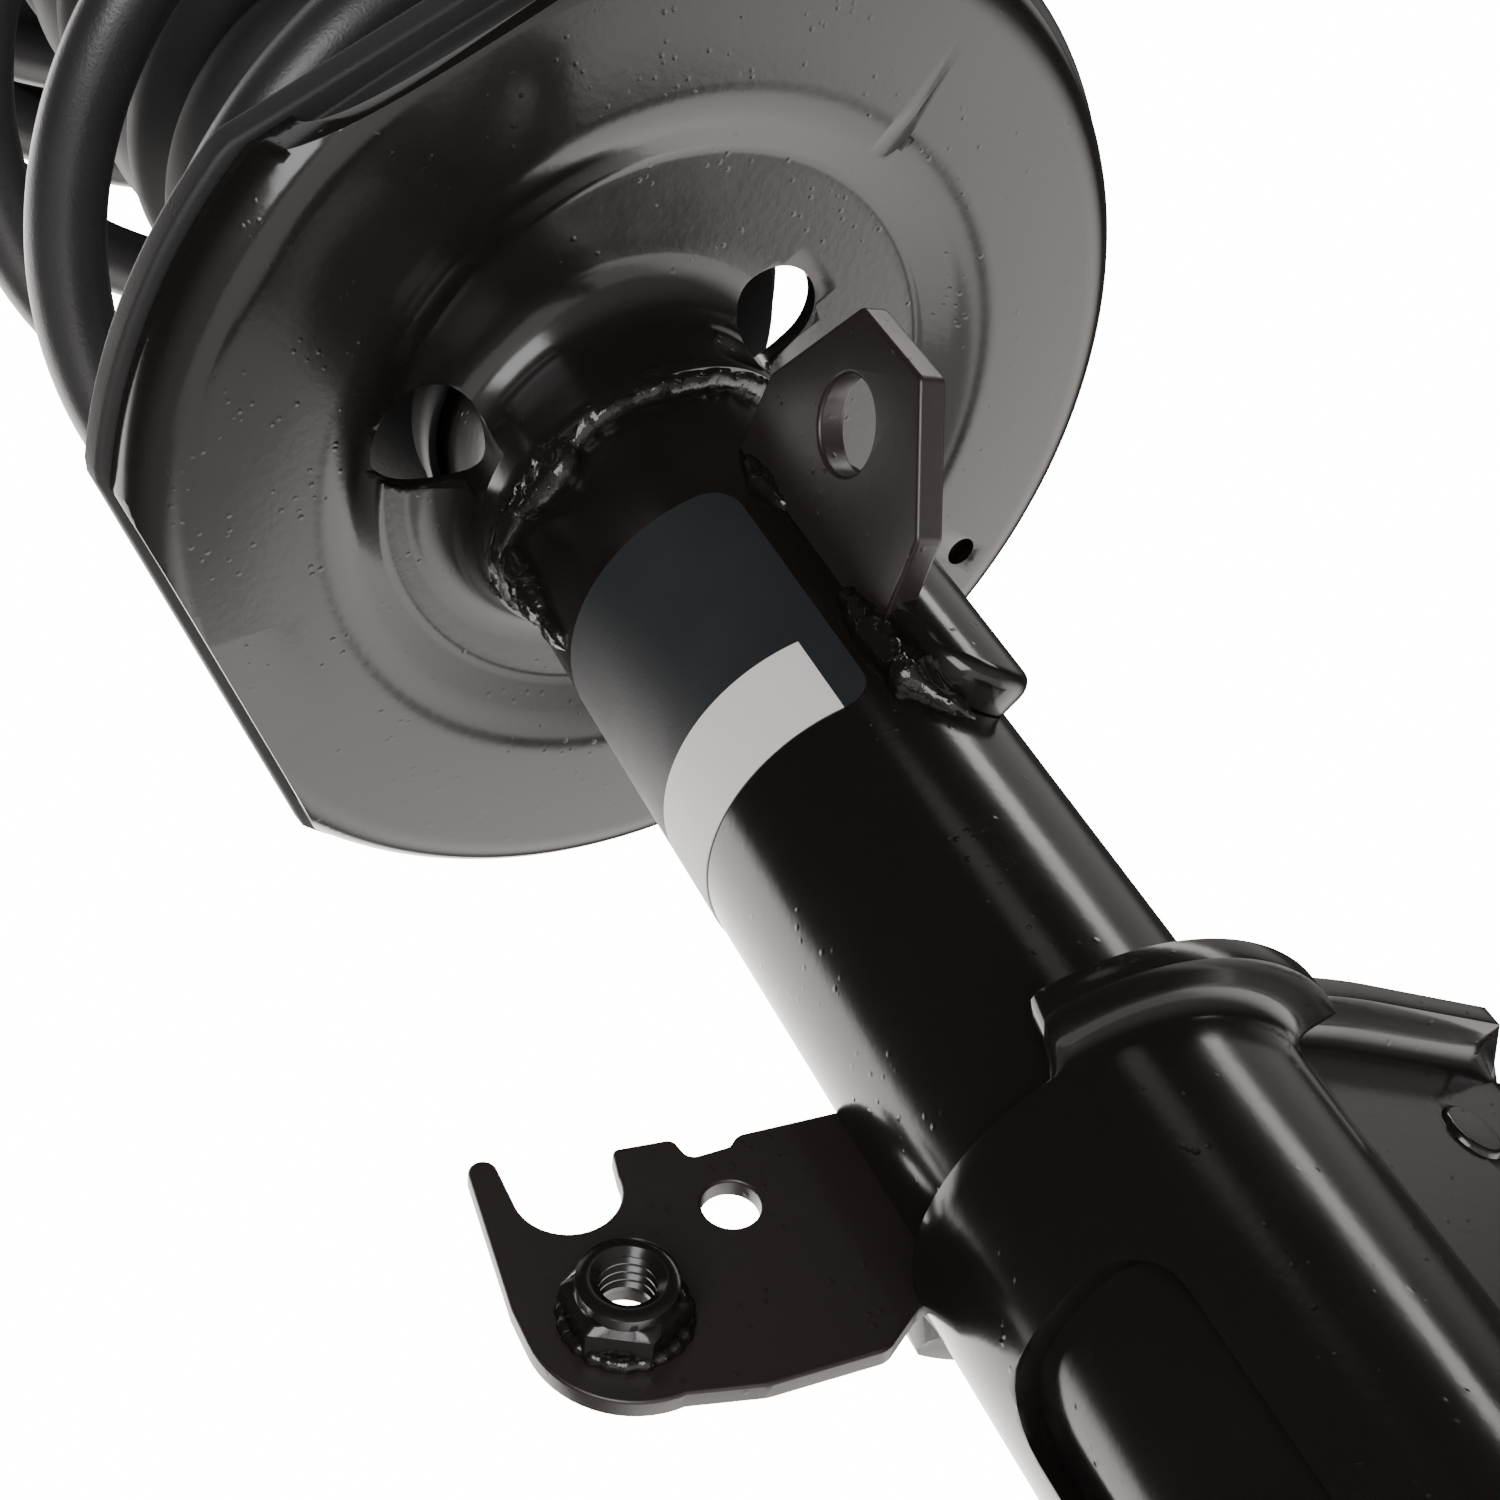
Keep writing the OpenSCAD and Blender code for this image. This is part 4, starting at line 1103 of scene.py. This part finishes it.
@dataclass
class KnuckleBracket:
    """Bracket that wraps the tube and takes the knuckle between its ears."""

    palette: Palette
    sheet: float = 3.2
    low: float = -564.0
    lip_z: float = -452.0
    bend: float = 3.0
    lip: float = 6.5
    ear_in: float = 16.5
    ear_end: float = 64.0
    lip_end: float = 56.0
    valley_r: float = 8.0
    starts: tuple[float, float] = (105.0, 145.0)
    ear_rise: float = 5.0
    bolt_x: float = 50.0
    bolt_drops: tuple[float, float] = (36.0, 96.0)
    bolt_r: float = 7.5
    window_half: float = 13.5
    window_low: float = 24.0
    window_drop: float = 27.5
    corner: float = 12.8
    boss_x: float = 42.0
    boss_drop: float = 12.0
    back_steps: int = 72
    valley_steps: int = 16
    ear_steps: int = 28

    def path(self) -> list[tuple[Vector, Vector, float]]:
        """Gives the sheet's mid-line: point, outward normal and distance from the back.

        Returns:
            Stations from the middle of the back to the ear's end, on the +Y side.
        """
        mid = TUBE_R + 0.05 + self.sheet / 2
        vy = self.ear_in + self.sheet + self.valley_r
        vx = math.sqrt((TUBE_R + 0.05 + self.sheet + self.valley_r) ** 2 - vy ** 2)
        valley = math.degrees(math.asin(vy / math.hypot(vx, vy)))
        out = []
        for i in range(self.back_steps + 1):
            a = 180 + (valley - 180) * i / self.back_steps
            n = polar(1, a, 0)
            out.append((n * mid, n, a))
        r = self.valley_r + self.sheet / 2
        for i in range(1, self.valley_steps + 1):
            a = 180 + valley + (90 - valley) * i / self.valley_steps
            n = polar(1, a, 0)
            out.append((Vector((vx, vy, 0)) + n * r, -n, 0.0))
        for i in range(1, self.ear_steps + 1):
            x = vx + (self.ear_end - vx) * i / self.ear_steps
            out.append((Vector((x, self.ear_in + self.sheet / 2, 0)), Vector((0, 1, 0)), x))
        return out

    def share(self, index: int, x: float, start: float) -> float:
        """How far the lip is turned out at a station, from 0 to 1."""
        if index <= self.back_steps:
            t = (start - x) / 9.0 + 0.5
        elif x > 0:
            t = (self.lip_end + 1.0 - x) / 2.0
        else:
            t = 1.0
        t = min(1.0, max(0.0, t))
        return t * t * (3 - 2 * t)

    def rise(self, index: int, x: float) -> float:
        """How far the top edge stands above the lip's height at a station."""
        past = index - self.back_steps
        if past <= 0:
            t = 0.4 * max(0.0, (80 - x) / 40)
        elif past <= self.valley_steps:
            t = 0.4 + 0.35 * past / self.valley_steps
        else:
            t = 0.75 + 0.25 * min(1.0, (past - self.valley_steps) / 7)
        t = min(1.0, t)
        return self.ear_rise * t * t * (3 - 2 * t)

    def section(self, share: float) -> list[tuple[float, float, float, float]]:
        """Mid-line of the sheet up the wall and over the lip, with its normal.

        Args:
            share: How far the lip is turned out.

        Returns:
            Distance out, height, and the normal's two parts at each point.
        """
        z_bend = self.lip_z - self.sheet - self.bend
        rows = [(0.0, self.low + (z_bend - self.low) * i / 40, 1.0, 0.0) for i in range(41)]
        radius = self.bend + self.sheet / 2
        turn = 90 * share
        for i in range(1, 9):
            a = math.radians(turn * i / 8)
            rows.append((radius - radius * math.cos(a), z_bend + radius * math.sin(a),
                         math.cos(a), -math.sin(a)))
        a = math.radians(turn)
        d, z = rows[-1][0], rows[-1][1]
        length = (self.lip - self.bend) * share + 0.02
        for i in (1, 2):
            rows.append((d + length * math.sin(a) * i / 2, z + length * math.cos(a) * i / 2,
                         math.cos(a), -math.sin(a)))
        keep = share
        squashed = []
        for k, (d, z, nd, nz) in enumerate(rows):
            if k > 40:
                z = z_bend + (z - z_bend) * max(keep, 0.004 * (k - 40))
            squashed.append((d, z, nd, nz))
        return squashed

    def build(self) -> None:
        """Builds and dresses the bracket and its welds."""
        half = self.path()
        stations = []
        for side, start in ((1, self.starts[0]), (-1, self.starts[1])):
            for index, (p, n, x) in enumerate(half):
                share = self.share(index, x, start)
                stations.append((side, self.rise(index, x), Vector((p.x, side * p.y, 0)),
                                 Vector((n.x, side * n.y, 0)), share))
        left = [s for s in stations if s[0] == 1][::-1]
        right = [s for s in stations if s[0] == -1][1:]
        rows = []
        for _, rise, p, n, share in left + right:
            outer, inner = [], []
            for d, z, nd, nz in self.section(share):
                z += rise * min(1.0, (z - self.low) / (self.lip_z - 8 - self.low)) ** 3
                mid = p + n * d + Vector((0, 0, z))
                across = n * nd + Vector((0, 0, nz))
                outer.append(mid + across * self.sheet / 2)
                inner.append(mid - across * self.sheet / 2)
            rows.append(outer + inner[::-1])
        body = Shape().grid(rows, True, False, caps=True).build("knuckle_bracket_pressing", 40)
        cut(body, self.cutters())
        self.emboss(body)
        soften(body, 0.5, 55)
        dress(body, self.palette.of(DIP), Body.STRUT, "knuckle_bracket", "knuckle_bracket")
        self.welds()

    def cutters(self) -> list[bpy.types.Object]:
        """Makes the cutters of the bolt holes, the window and the ears' lower corners."""
        out = []
        for drop in self.bolt_drops:
            z = self.lip_z - drop
            out.append(round_bar(Vector((self.bolt_x, -40, z)), Vector((self.bolt_x, 40, z)),
                                 self.bolt_r))
        half = self.window_half
        low, high = self.low + self.window_low, self.lip_z - self.window_drop
        window = rounded([(-half, low, 8), (half, low, 8), (half, high, 8), (-half, high, 8)])
        out.append(prism(window, lambda x, y, h: Vector((-h, x, y)), 14, 40))
        c = self.corner
        corner = rounded([(-c, 0, 0), (0, -c, 0), (c, 0, 0), (0, c, 0)])
        out.append(prism(corner, lambda x, y, h: Vector((self.ear_end + x, h, self.low + y)),
                         -40, 40))
        return out

    def emboss(self, body: bpy.types.Object) -> None:
        """Raises the round boss on each ear."""
        z = self.lip_z - self.boss_drop
        for side in (-1, 1):
            section = rounded([(0, 0, 0), (4.6, 0, 0.8), (3.9, 1.3, 0.7), (0, 1.3, 0)],
                              closed=False)
            base = self.ear_in + self.sheet - 0.5
            rows = []
            for i in range(40):
                row = []
                for r, h in section:
                    p = polar(r, 360 * i / 40, 0)
                    row.append(Vector((self.boss_x + p.x, side * (base + h), z + p.y)))
                rows.append(row)
            cut(body, [Shape().grid(rows, True, True).build("boss")], "UNION")

    def welds(self) -> None:
        """Lays the welds inside the bracket, along the ears' roots."""
        finish = self.palette.of(BEAD)
        reach = math.sqrt((TUBE_R + 1.2) ** 2 - (self.ear_in - 1.2) ** 2)
        for side, word in ((-1, "a"), (1, "b")):
            path = [Vector((reach, side * (self.ear_in - 1.2), self.low + 8 + i * 2))
                    for i in range(45)]
            bead = self.palette.sweeps.sweep("knuckle_weld_" + word, path, 2.3, finish, 0.7,
                                             0.4, 3.2, 0.8)
            dress(bead, finish, Body.STRUT, "knuckle_weld",
                  *(["knuckle_weld"] if side == 1 else []))


@dataclass
class SideBrackets:
    """Stabiliser link bracket and hose bracket with its weld nut."""

    palette: Palette
    link_dir: float = 256.0
    link_z: float = -362.0
    link_reach: float = 39.6
    hose_dir: float = 151.0
    hose_z: float = -437.6
    hose_reach: float = 37.8
    hose_face: float = -10.0
    hose_sheet: float = 2.8
    hose_slot_r: float = 6.4
    hose_hole_r: float = 3.5
    link_hole_r: float = 6.5
    nut_x: float = 17.8
    nut_y: float = -10.6
    nut_hole_r: float = 4.3

    def build(self) -> None:
        """Builds and dresses both brackets."""
        self.link()
        self.link_foot()
        self.hose()
        self.nut()
        self.small_welds()

    def link(self) -> None:
        """Builds the radial plate with the link hole."""
        r = self.link_reach
        outline = rounded([(22.2, 20.5, 0), (r - 4.7, 19.5, 1.4), (r + 13.9, 6, 1.4),
                           (r + 13.9, -10.5, 1.4), (r - 2.6, -22, 2), (22.2, -22, 0)])
        made = plate("link_bracket_plate", outline, [circle(r, 0, self.link_hole_r)], 4.0, 0.6,
                     upright(self.link_dir, 0, self.link_z))
        dress(made, self.palette.of(SHEET), Body.STRUT, "link_bracket", "link_bracket")

    def link_foot(self) -> None:
        """Builds the thick rounded foot that hugs the tube and the weld beside it."""
        rows = []
        for i in range(33):
            t = i / 16 - 1
            angle = self.link_dir + 17 + 19 * t
            curve = 1 - math.sqrt(max(0.0, 1 - t * t))
            high, low = self.link_z + 12 - 5 * curve, self.link_z - 37 + 9 * curve
            out = 28.6 - 1.4 * curve
            section = rounded([(22.55, low, 0.3), (out, low, 2.4), (out, high, 2.4),
                               (22.55, high, 0.3)], steps=5)
            rows.append([polar(r, angle, z) for r, z in section])
        foot = Shape().grid(rows, True, False, caps=True).build("link_bracket_foot", 50)
        soften(foot, 1.4, 50, 3)
        dress(foot, self.palette.of(DIP), Body.STRUT, "link_bracket")
        finish = self.palette.of(BEAD)
        side = WeldBand([(252.0, self.link_z - 12, 4.0, 1.6), (251.0, self.link_z - 22, 7.0, 3.4),
                         (252.0, self.link_z - 31, 6.5, 3.0), (258.0, self.link_z - 36, 3.4, 1.8),
                         (266.0, self.link_z - 38.5, 2.0, 0.9)], 27)
        dress(side.build("link_weld_band"), finish, Body.STRUT, "link_weld", "link_weld")
        upper = WeldBand([(254.0, self.link_z + 19, 2.6, 1.4), (250.5, self.link_z + 12, 5.0, 2.2),
                          (253.0, self.link_z + 5, 3.0, 1.4)], 11)
        dress(upper.build("link_weld_tack"), finish, Body.STRUT, "link_weld")

    def hose(self) -> None:
        """Builds the upright plate with the open slot and its two holes."""
        r, s, pad, prong = self.hose_reach, 17.0, 16.6, 25.1
        outer = rounded([(18.5 - r, 8.5, 0), (-5, 9.5, 2), (-3.5, 8.2, 1), (1.8, 8.2, 1.5),
                         (2.4, 11.6, 1.2), (s - 7.2, 12.6, 0.9), (s - 6.4, 8.7, 0)],
                        closed=False)
        slot = arc(s, 8.7, self.hose_slot_r, 180, 360, 24)
        tip = arc(prong, 14.7, 1.75, 175, 0, 10)
        lower = arc(pad, -10, 12.6, 0, -95, 16)
        tail = rounded([lower[-1] + (0,), (6.6, -24.8, 4), (-8, -25.3, 3), (-14, -21, 3),
                        (18.5 - r, -21, 0)], closed=False)
        ring = outer + slot[1:] + tip + [(29.2, -5)] + lower + tail[1:]
        holes = [circle(0, 0, self.hose_hole_r), circle(self.nut_x, self.nut_y, self.nut_hole_r)]
        shifted = [(x + r, y) for x, y in ring]
        made = plate("hose_bracket_plate", shifted, [[(x + r, y) for x, y in h] for h in holes],
                     self.hose_sheet, 0.45,
                     upright(self.hose_dir, self.hose_face - self.hose_sheet / 2, self.hose_z))
        dress(made, self.palette.of(SHEET), Body.STRUT, "hose_bracket", "hose_bracket")

    def on_hose(self, x: float, y: float, h: float) -> Vector:
        """Point x out, y up and h off the hose bracket's face, in the row frame."""
        frame_of = upright(self.hose_dir, self.hose_face, self.hose_z)
        return frame_of @ Vector((self.hose_reach * MM + x * MM, y * MM, -h * MM)) / MM

    def nut(self) -> None:
        """Builds the collared hexagon weld nut with its thread."""
        flats, high, collar = 6.5, 5.0, 6.4
        rows = []
        for i in range(96):
            angle = 360 * i / 96
            wedge = math.radians((angle + 30) % 60 - 30)
            hexa = flats / math.cos(wedge)
            round_off = min(hexa, flats / math.cos(math.radians(30)) - 0.35)
            section = [(3.4, 0.4)] + thread(4.0, 0.8, 6.4, 1.25, 0.6) + [
                (4.3, 7.0), (collar - 1.2, 7.0), (collar - 0.5, 6.6), (collar - 0.4, high + 0.1),
                (round_off - 0.7, high), (hexa, high - 0.8), (hexa, 0.0), (4.2, 0.0)]
            rows.append([self.on_hose(self.nut_x + r * math.cos(math.radians(angle)),
                                      self.nut_y + r * math.sin(math.radians(angle)), h)
                         for r, h in section])
        made = Shape().grid(rows, True, True).build("hose_weld_nut_body", 32)
        dress(made, self.palette.of(DIP), Body.STRUT, "hose_weld_nut", "hose_weld_nut")

    def small_welds(self) -> None:
        """Lays the weld round the nut and the one along the plate's root."""
        finish = self.palette.of(BEAD)
        ring = [self.on_hose(x, y, 0.4)
                for x, y in circle(self.nut_x, self.nut_y, 6.9, 60)]
        bead = self.palette.sweeps.sweep("hose_nut_weld", ring, 1.0, finish, 0.4, 0.3, 2.0, 0.8,
                                         12, closed=True)
        dress(bead, finish, Body.STRUT, "hose_weld")
        path = [self.on_hose(-17.6 + 0.1 * math.sin(i), -20 + i * 1.1, -3.3)
                for i in range(24)]
        root = self.palette.sweeps.sweep("hose_root_weld", path, 1.7, finish, 0.5, 0.4, 2.6, 0.8)
        dress(root, finish, Body.STRUT, "hose_weld", "hose_weld")


@dataclass
class Spring:
    """Coil spring, whose lowest turn lies on the leaning seat."""

    palette: Palette
    wire_r: float = 6.25
    coil_r: float = 68.0
    turns: float = 6.25
    start: float = 189.0
    foot: float = 9.65
    top: float = -52.1
    rest: float = 0.5
    ramp: float = 0.45

    def point(self, t: float) -> Vector:
        """Middle of the wire t turns from its lower end."""
        rise = self.top - 2 * self.wire_r - (SEAT_Z + self.foot)
        pitch = rise / (self.turns - 2 * self.rest - self.ramp)

        def climb(u: float) -> float:
            """Height of the wire above its foot after u turns."""
            if u < self.rest:
                return 0.0
            if u < self.rest + self.ramp:
                return pitch * (u - self.rest) ** 2 / (2 * self.ramp)
            return pitch * (u - self.rest - self.ramp / 2)

        h = climb(t) if t < self.turns / 2 else rise - climb(self.turns - t)
        a = math.radians(self.start + 360 * t - FRAME.heading)
        low = 1 - h / rise
        lift = self.foot + self.wire_r
        lean = math.radians(FRAME.lean)
        out = (low * (FRAME.offset - lift * math.sin(lean))
               + self.coil_r * math.cos(a) * math.cos(lean * low))
        side = self.coil_r * math.sin(a)
        z = SEAT_Z + lift + h + self.coil_r * math.cos(a) * math.sin(lean * low)
        head = math.radians(FRAME.heading)
        return Vector((out * math.cos(head) - side * math.sin(head),
                       out * math.sin(head) + side * math.cos(head), z))

    def build(self) -> None:
        """Builds and dresses the spring."""
        count = 900
        path = [self.point(self.turns * i / count) for i in range(count + 1)]
        finish = self.palette.of(SPRING)
        wire = self.palette.sweeps.sweep("coil_spring_wire", path, self.wire_r - 0.02, finish,
                                         2.4, sides=28)
        soften(wire, 0.8, 60)
        dress(wire, finish, Body.UPPER, "coil_spring", "coil_spring")
        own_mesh(wire)


@dataclass
class SoftParts:
    """Dust boot and bump stop."""

    palette: Palette
    top: float = -33.05
    low: float = -299.0
    neck: float = 23.3
    body: float = 36.5
    rib: float = 5.0
    ribs: int = 11
    collar: float = 8.0
    wall: float = 1.4

    def build(self) -> None:
        """Builds and dresses the boot and the bump stop."""
        pitch = (self.top - self.low - 3 * self.collar) / self.ribs
        first = self.low + 2 * self.collar
        outer: list[Point2] = [(self.neck, self.low), (self.neck + 0.4, self.low + 2),
                               (self.neck, self.low + 4), (self.neck, self.low + self.collar)]
        steps = 16
        for i in range(self.ribs * steps + 1):
            t = i / steps
            swell = 0.5 - 0.5 * math.cos(2 * math.pi * t)
            outer.append((self.body + self.rib * swell ** 0.8, first + t * pitch))
        outer += [(self.body, self.top - self.collar), (self.body + 1.0, self.top - 1.2),
                  (self.body + 1.0, self.top)]
        boot = Shape().lathe(sheet_section(outer, -self.wall), 192).build("dust_boot_bellows", 50)
        dress(boot, self.palette.of(BOOT), Body.UPPER, "dust_boot", "dust_boot")
        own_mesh(boot)
        corners: list[Corner] = [(10.1, -91, 1), (15, -91, 3)]
        for i in (3, 2, 1):
            base = -37 - i * 18
            wide = 17 + 9 - 2 * i
            corners += [(16.9, base - 0.5, 2.5), (wide, base + 1.0, 5), (wide, base + 13.0, 5)]
        corners += [(16.9, -37.0, 3), (16.9, -15.2, 1.5), (10.1, -15.2, 1)]
        stop = Shape().lathe(rounded(corners, steps=5), 128).build("bump_stop_foam", 60)
        dress(stop, self.palette.of(FOAM), Body.MOUNT, "bump_stop", "bump_stop")


@dataclass
class TopMount:
    """Studs with threads and the rod's threaded top; the rest keeps its drawn solids."""

    palette: Palette
    stud_circle: float = 48.0
    stud_r: float = 4.0
    stud_top: float = 22.0
    rod_r: float = 10.0
    rod_thread: float = 7.0

    def build(self) -> None:
        """Builds and dresses the studs and the rod."""
        section: list[Point2] = [(0.0, -8.5), (6.2, -8.5), (6.5, -8.2), (6.5, -6.1),
                                 (4.0, -6.0), (4.0, 0.6)]
        section += thread(self.stud_r, 0.8, self.stud_top - 1.2, 1.25, 0.6)
        section += [(3.0, self.stud_top), (0.0, self.stud_top)]
        rows = [[polar(r, 360 * i / 48, z) for r, z in section] for i in range(48)]
        stud = Shape().grid(rows, False, True).build("mount_studs_threaded", 25)
        finish = self.palette.of(STEEL)
        self.palette.rings.repeat(stud, 3, self.stud_circle, 0.0, finish, 25)
        dress(stud, finish, Body.MOUNT, "mount_studs", "mount_studs")
        section = [(0.0, -317.5), (5.6, -317.5), (5.95, -317.1), (5.95, -290.6),
                   (self.rod_r - 0.8, -290.5), (self.rod_r, -289.7), (self.rod_r, -14.8),
                   (self.rod_r - 0.8, -14.0), (self.rod_thread, -14.0), (self.rod_thread, 6.0)]
        section += thread(self.rod_thread, 6.4, 24.2, 1.5, 0.8)
        section += [(5.6, 25.5), (0.0, 25.5)]
        rows = [[polar(r, 360 * i / 128, z) for r, z in section] for i in range(128)]
        rod = Shape().grid(rows, False, True).build("piston_rod_chromed", 25)
        dress(rod, self.palette.of(CHROME), Body.MOUNT, "piston_rod", "piston_rod")


DRAWN_NODES: dict[str, Finish] = {
    "mount_plate": SATIN, "mount_lower_plate": SATIN, "mount_rubber": RUBBER,
    "mount_core": DRAWN, "rod_washer": STEEL, "rod_nut": STEEL, "bearing_upper_race": MOULDED,
    "bearing_balls": CHROME, "bearing_cage": CAGE, "bearing_lower_race": MOULDED,
    "upper_spring_seat": SATIN, "upper_insulator": RUBBER, "rebound_stop": IVORY,
    "piston": SINTER, "piston_band": SEAL_BAND, "piston_nut": STEEL, "tube_cap": STEEL,
    "rod_seal": RUBBER, "rod_guide": SINTER, "rod_bushing": BRONZE, "pressure_tube": DRAWN,
    "base_valve": SINTER, "base_cap": DIP,
}


def dress_drawn_nodes(palette: Palette) -> None:
    """Gives each drawn solid that stays visible its finish."""
    for name, finish in DRAWN_NODES.items():
        node = frame["nodes"][name]
        node.data.materials.clear()
        node.data.materials.append(palette.of(finish))
        LOG.info("%s: drawn solid in %s", name, finish.name)


# ---------------------------------------------------------------- light and camera

@dataclass
class Studio:
    """Pale floor, soft lights, pale surroundings and the camera."""

    floor_z: float = -1.25
    eye: tuple[float, float, float] = (-0.2557, -0.1536, -0.6354)
    right: tuple[float, float, float] = (0.7547, -0.5088, -0.4142)
    up: tuple[float, float, float] = (-0.1701, -0.7615, 0.6254)
    ahead: tuple[float, float, float] = (0.6336, 0.4016, 0.6613)
    lens: float = 72.0
    backdrop: float = 16.0
    glows: tuple[tuple[tuple[float, float, float], float, float, float], ...] = (
        ((0.066, 0.752, 0.656), 33.0, 41.0, 5.0), ((0.68, 0.34, -0.65), 20.0, 58.0, 3.2),
        ((0.650, 0.197, -0.760), 3.2, 7.5, -3.3), ((0.40, 0.05, -0.92), 6.0, 26.0, -1.2),
        ((0.634, -0.401, 0.661), 11.0, 24.0, 0.55), ((-0.20, -0.81, 0.56), 3.0, 7.5, 0.8))

    def build(self) -> None:
        """Sets the floor, the lights, the surroundings and the camera."""
        self.floor()
        self.lights()
        self.surroundings()
        self.camera()

    def floor(self) -> None:
        """Lays the pale floor far below the part."""
        rows = [[Vector((x, y, self.floor_z)) / MM for x in (-0.6, 0.6)]
                for y in (-0.6, 0.6)]
        shape = Shape()
        shape.grid(rows, False, False)
        body = shape.build("studio_floor")
        paint = bpy.data.materials.new("pale_floor")
        paint.use_nodes = True
        shader = paint.node_tree.nodes["Principled BSDF"]
        shader.inputs["Base Color"].default_value = (0.86, 0.86, 0.85, 1)
        shader.inputs["Roughness"].default_value = 0.9
        body.data.materials.append(paint)
        body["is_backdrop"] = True

    def area(self, name: str, place: tuple[float, float, float], size: tuple[float, float],
             power: float, target: tuple[float, float, float],
             tint: tuple[float, float, float] = (1, 1, 1)) -> None:
        """Hangs one soft rectangular light.

        Args:
            name: Name of the light.
            place: Where it hangs, in metres.
            size: Its two sides in metres.
            power: Its power in watts.
            target: The point it faces.
            tint: Its colour.
        """
        data = bpy.data.lights.new(name, "AREA")
        data.shape = "RECTANGLE"
        data.size, data.size_y = size
        data.energy = power
        data.color = tint
        lamp = bpy.data.objects.new(name, data)
        bpy.context.scene.collection.objects.link(lamp)
        lamp.location = place
        lamp.rotation_euler = (Vector(target) - Vector(place)).to_track_quat("-Z", "Y").to_euler()

    def lights(self) -> None:
        """Hangs the lights round the part."""
        middle = (0.0, 0.0, -0.36)
        self.area("strip", (0.49, -0.85, 0.49), (0.22, 1.5), 6.0, middle, (1.0, 0.95, 0.9))
        self.area("fill", (-1.05, -0.5, -1.1), (0.8, 0.8), 16, middle)
        self.area("top", (0.0, 0.0, 1.1), (1.6, 1.6), 8, middle)

    def surroundings(self) -> None:
        """Makes the world white behind the part, and a soft room in its reflections."""
        world = bpy.data.worlds.new("pale room")
        bpy.context.scene.world = world
        world.use_nodes = True
        tree = world.node_tree
        room = tree.nodes["Background"]
        coords = NodeTools.add(tree, "ShaderNodeTexCoord")
        ray = NodeTools.add(tree, "ShaderNodeLightPath")
        split = NodeTools.add(tree, "ShaderNodeSeparateXYZ")
        tree.links.new(coords.outputs["Generated"], split.inputs[0])
        slope = NodeTools.add(tree, "ShaderNodeMapRange", interpolation_type="SMOOTHSTEP")
        for key, value in (("From Min", -0.75), ("From Max", 0.20), ("To Min", 0.6),
                           ("To Max", 0.03)):
            slope.inputs[key].default_value = value
        tree.links.new(split.outputs["Z"], slope.inputs["Value"])
        total = slope.outputs["Result"]
        for toward, full, faded, level in self.glows:
            patch = self.glow(tree, coords, toward, (full, faded), level)
            total = NodeTools.math(tree, "ADD", total, patch)
        total = NodeTools.math(tree, "MAXIMUM", total, 0.05)
        tree.links.new(total, room.inputs["Strength"])
        room.inputs["Color"].default_value = (1.0, 0.955, 0.925, 1)
        plain = NodeTools.add(tree, "ShaderNodeBackground")
        plain.inputs["Color"].default_value = (1, 1, 1, 1)
        plain.inputs["Strength"].default_value = self.backdrop
        mix = NodeTools.add(tree, "ShaderNodeMixShader")
        tree.links.new(ray.outputs["Is Camera Ray"], mix.inputs[0])
        tree.links.new(room.outputs[0], mix.inputs[1])
        tree.links.new(plain.outputs[0], mix.inputs[2])
        tree.links.new(mix.outputs[0], tree.nodes["World Output"].inputs["Surface"])

    def glow(self, tree: bpy.types.NodeTree, coords: bpy.types.Node,
             toward: tuple[float, float, float], spread: tuple[float, float],
             level: float) -> object:
        """Adds one soft patch of light to the room.

        Args:
            tree: The world's tree.
            coords: Its texture coordinate node.
            toward: Direction of the patch.
            spread: Angles in degrees up to which it is full and where it has faded out.
            level: Brightness at its middle.

        Returns:
            The socket with the patch's brightness.
        """
        dot = NodeTools.add(tree, "ShaderNodeVectorMath", operation="DOT_PRODUCT")
        dot.inputs[1].default_value = Vector(toward).normalized()
        tree.links.new(coords.outputs["Generated"], dot.inputs[0])
        fade = NodeTools.add(tree, "ShaderNodeMapRange", interpolation_type="SMOOTHSTEP")
        for key, value in (("From Min", math.cos(math.radians(spread[1]))),
                           ("From Max", math.cos(math.radians(spread[0]))),
                           ("To Min", 0.0), ("To Max", level)):
            fade.inputs[key].default_value = value
        tree.links.new(dot.outputs["Value"], fade.inputs["Value"])
        return fade.outputs["Result"]

    def camera(self) -> None:
        """Places the camera at the part's viewing angle, from below."""
        data = bpy.data.cameras.new("view")
        data.lens = self.lens
        data.sensor_width = 36.0
        data.clip_start = 0.01
        eye = bpy.data.objects.new("view", data)
        bpy.context.scene.collection.objects.link(eye)
        turn = Matrix((self.right, self.up, [-v for v in self.ahead])).transposed().to_4x4()
        turn.translation = Vector(self.eye)
        eye.matrix_world = turn
        bpy.context.scene.camera = eye


def write_sizes() -> None:
    """Gathers the CAD box and the visual model's box; nothing is written."""
    boxes = [[list(corner) for corner in box] for box in (CAD_BOX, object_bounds())]


def main() -> None:
    """Builds every piece in order, then the studio."""
    logging.basicConfig(level=logging.INFO, format="%(name)s: %(message)s")
    palette = Palette()
    dress_drawn_nodes(palette)
    for part in (Tube(palette), LowerSeat(palette), KnuckleBracket(palette),
                 SideBrackets(palette), Spring(palette), SoftParts(palette), TopMount(palette),
                 Studio()):
        part.build()
    write_sizes()


if __name__ == "__main__":
    main()
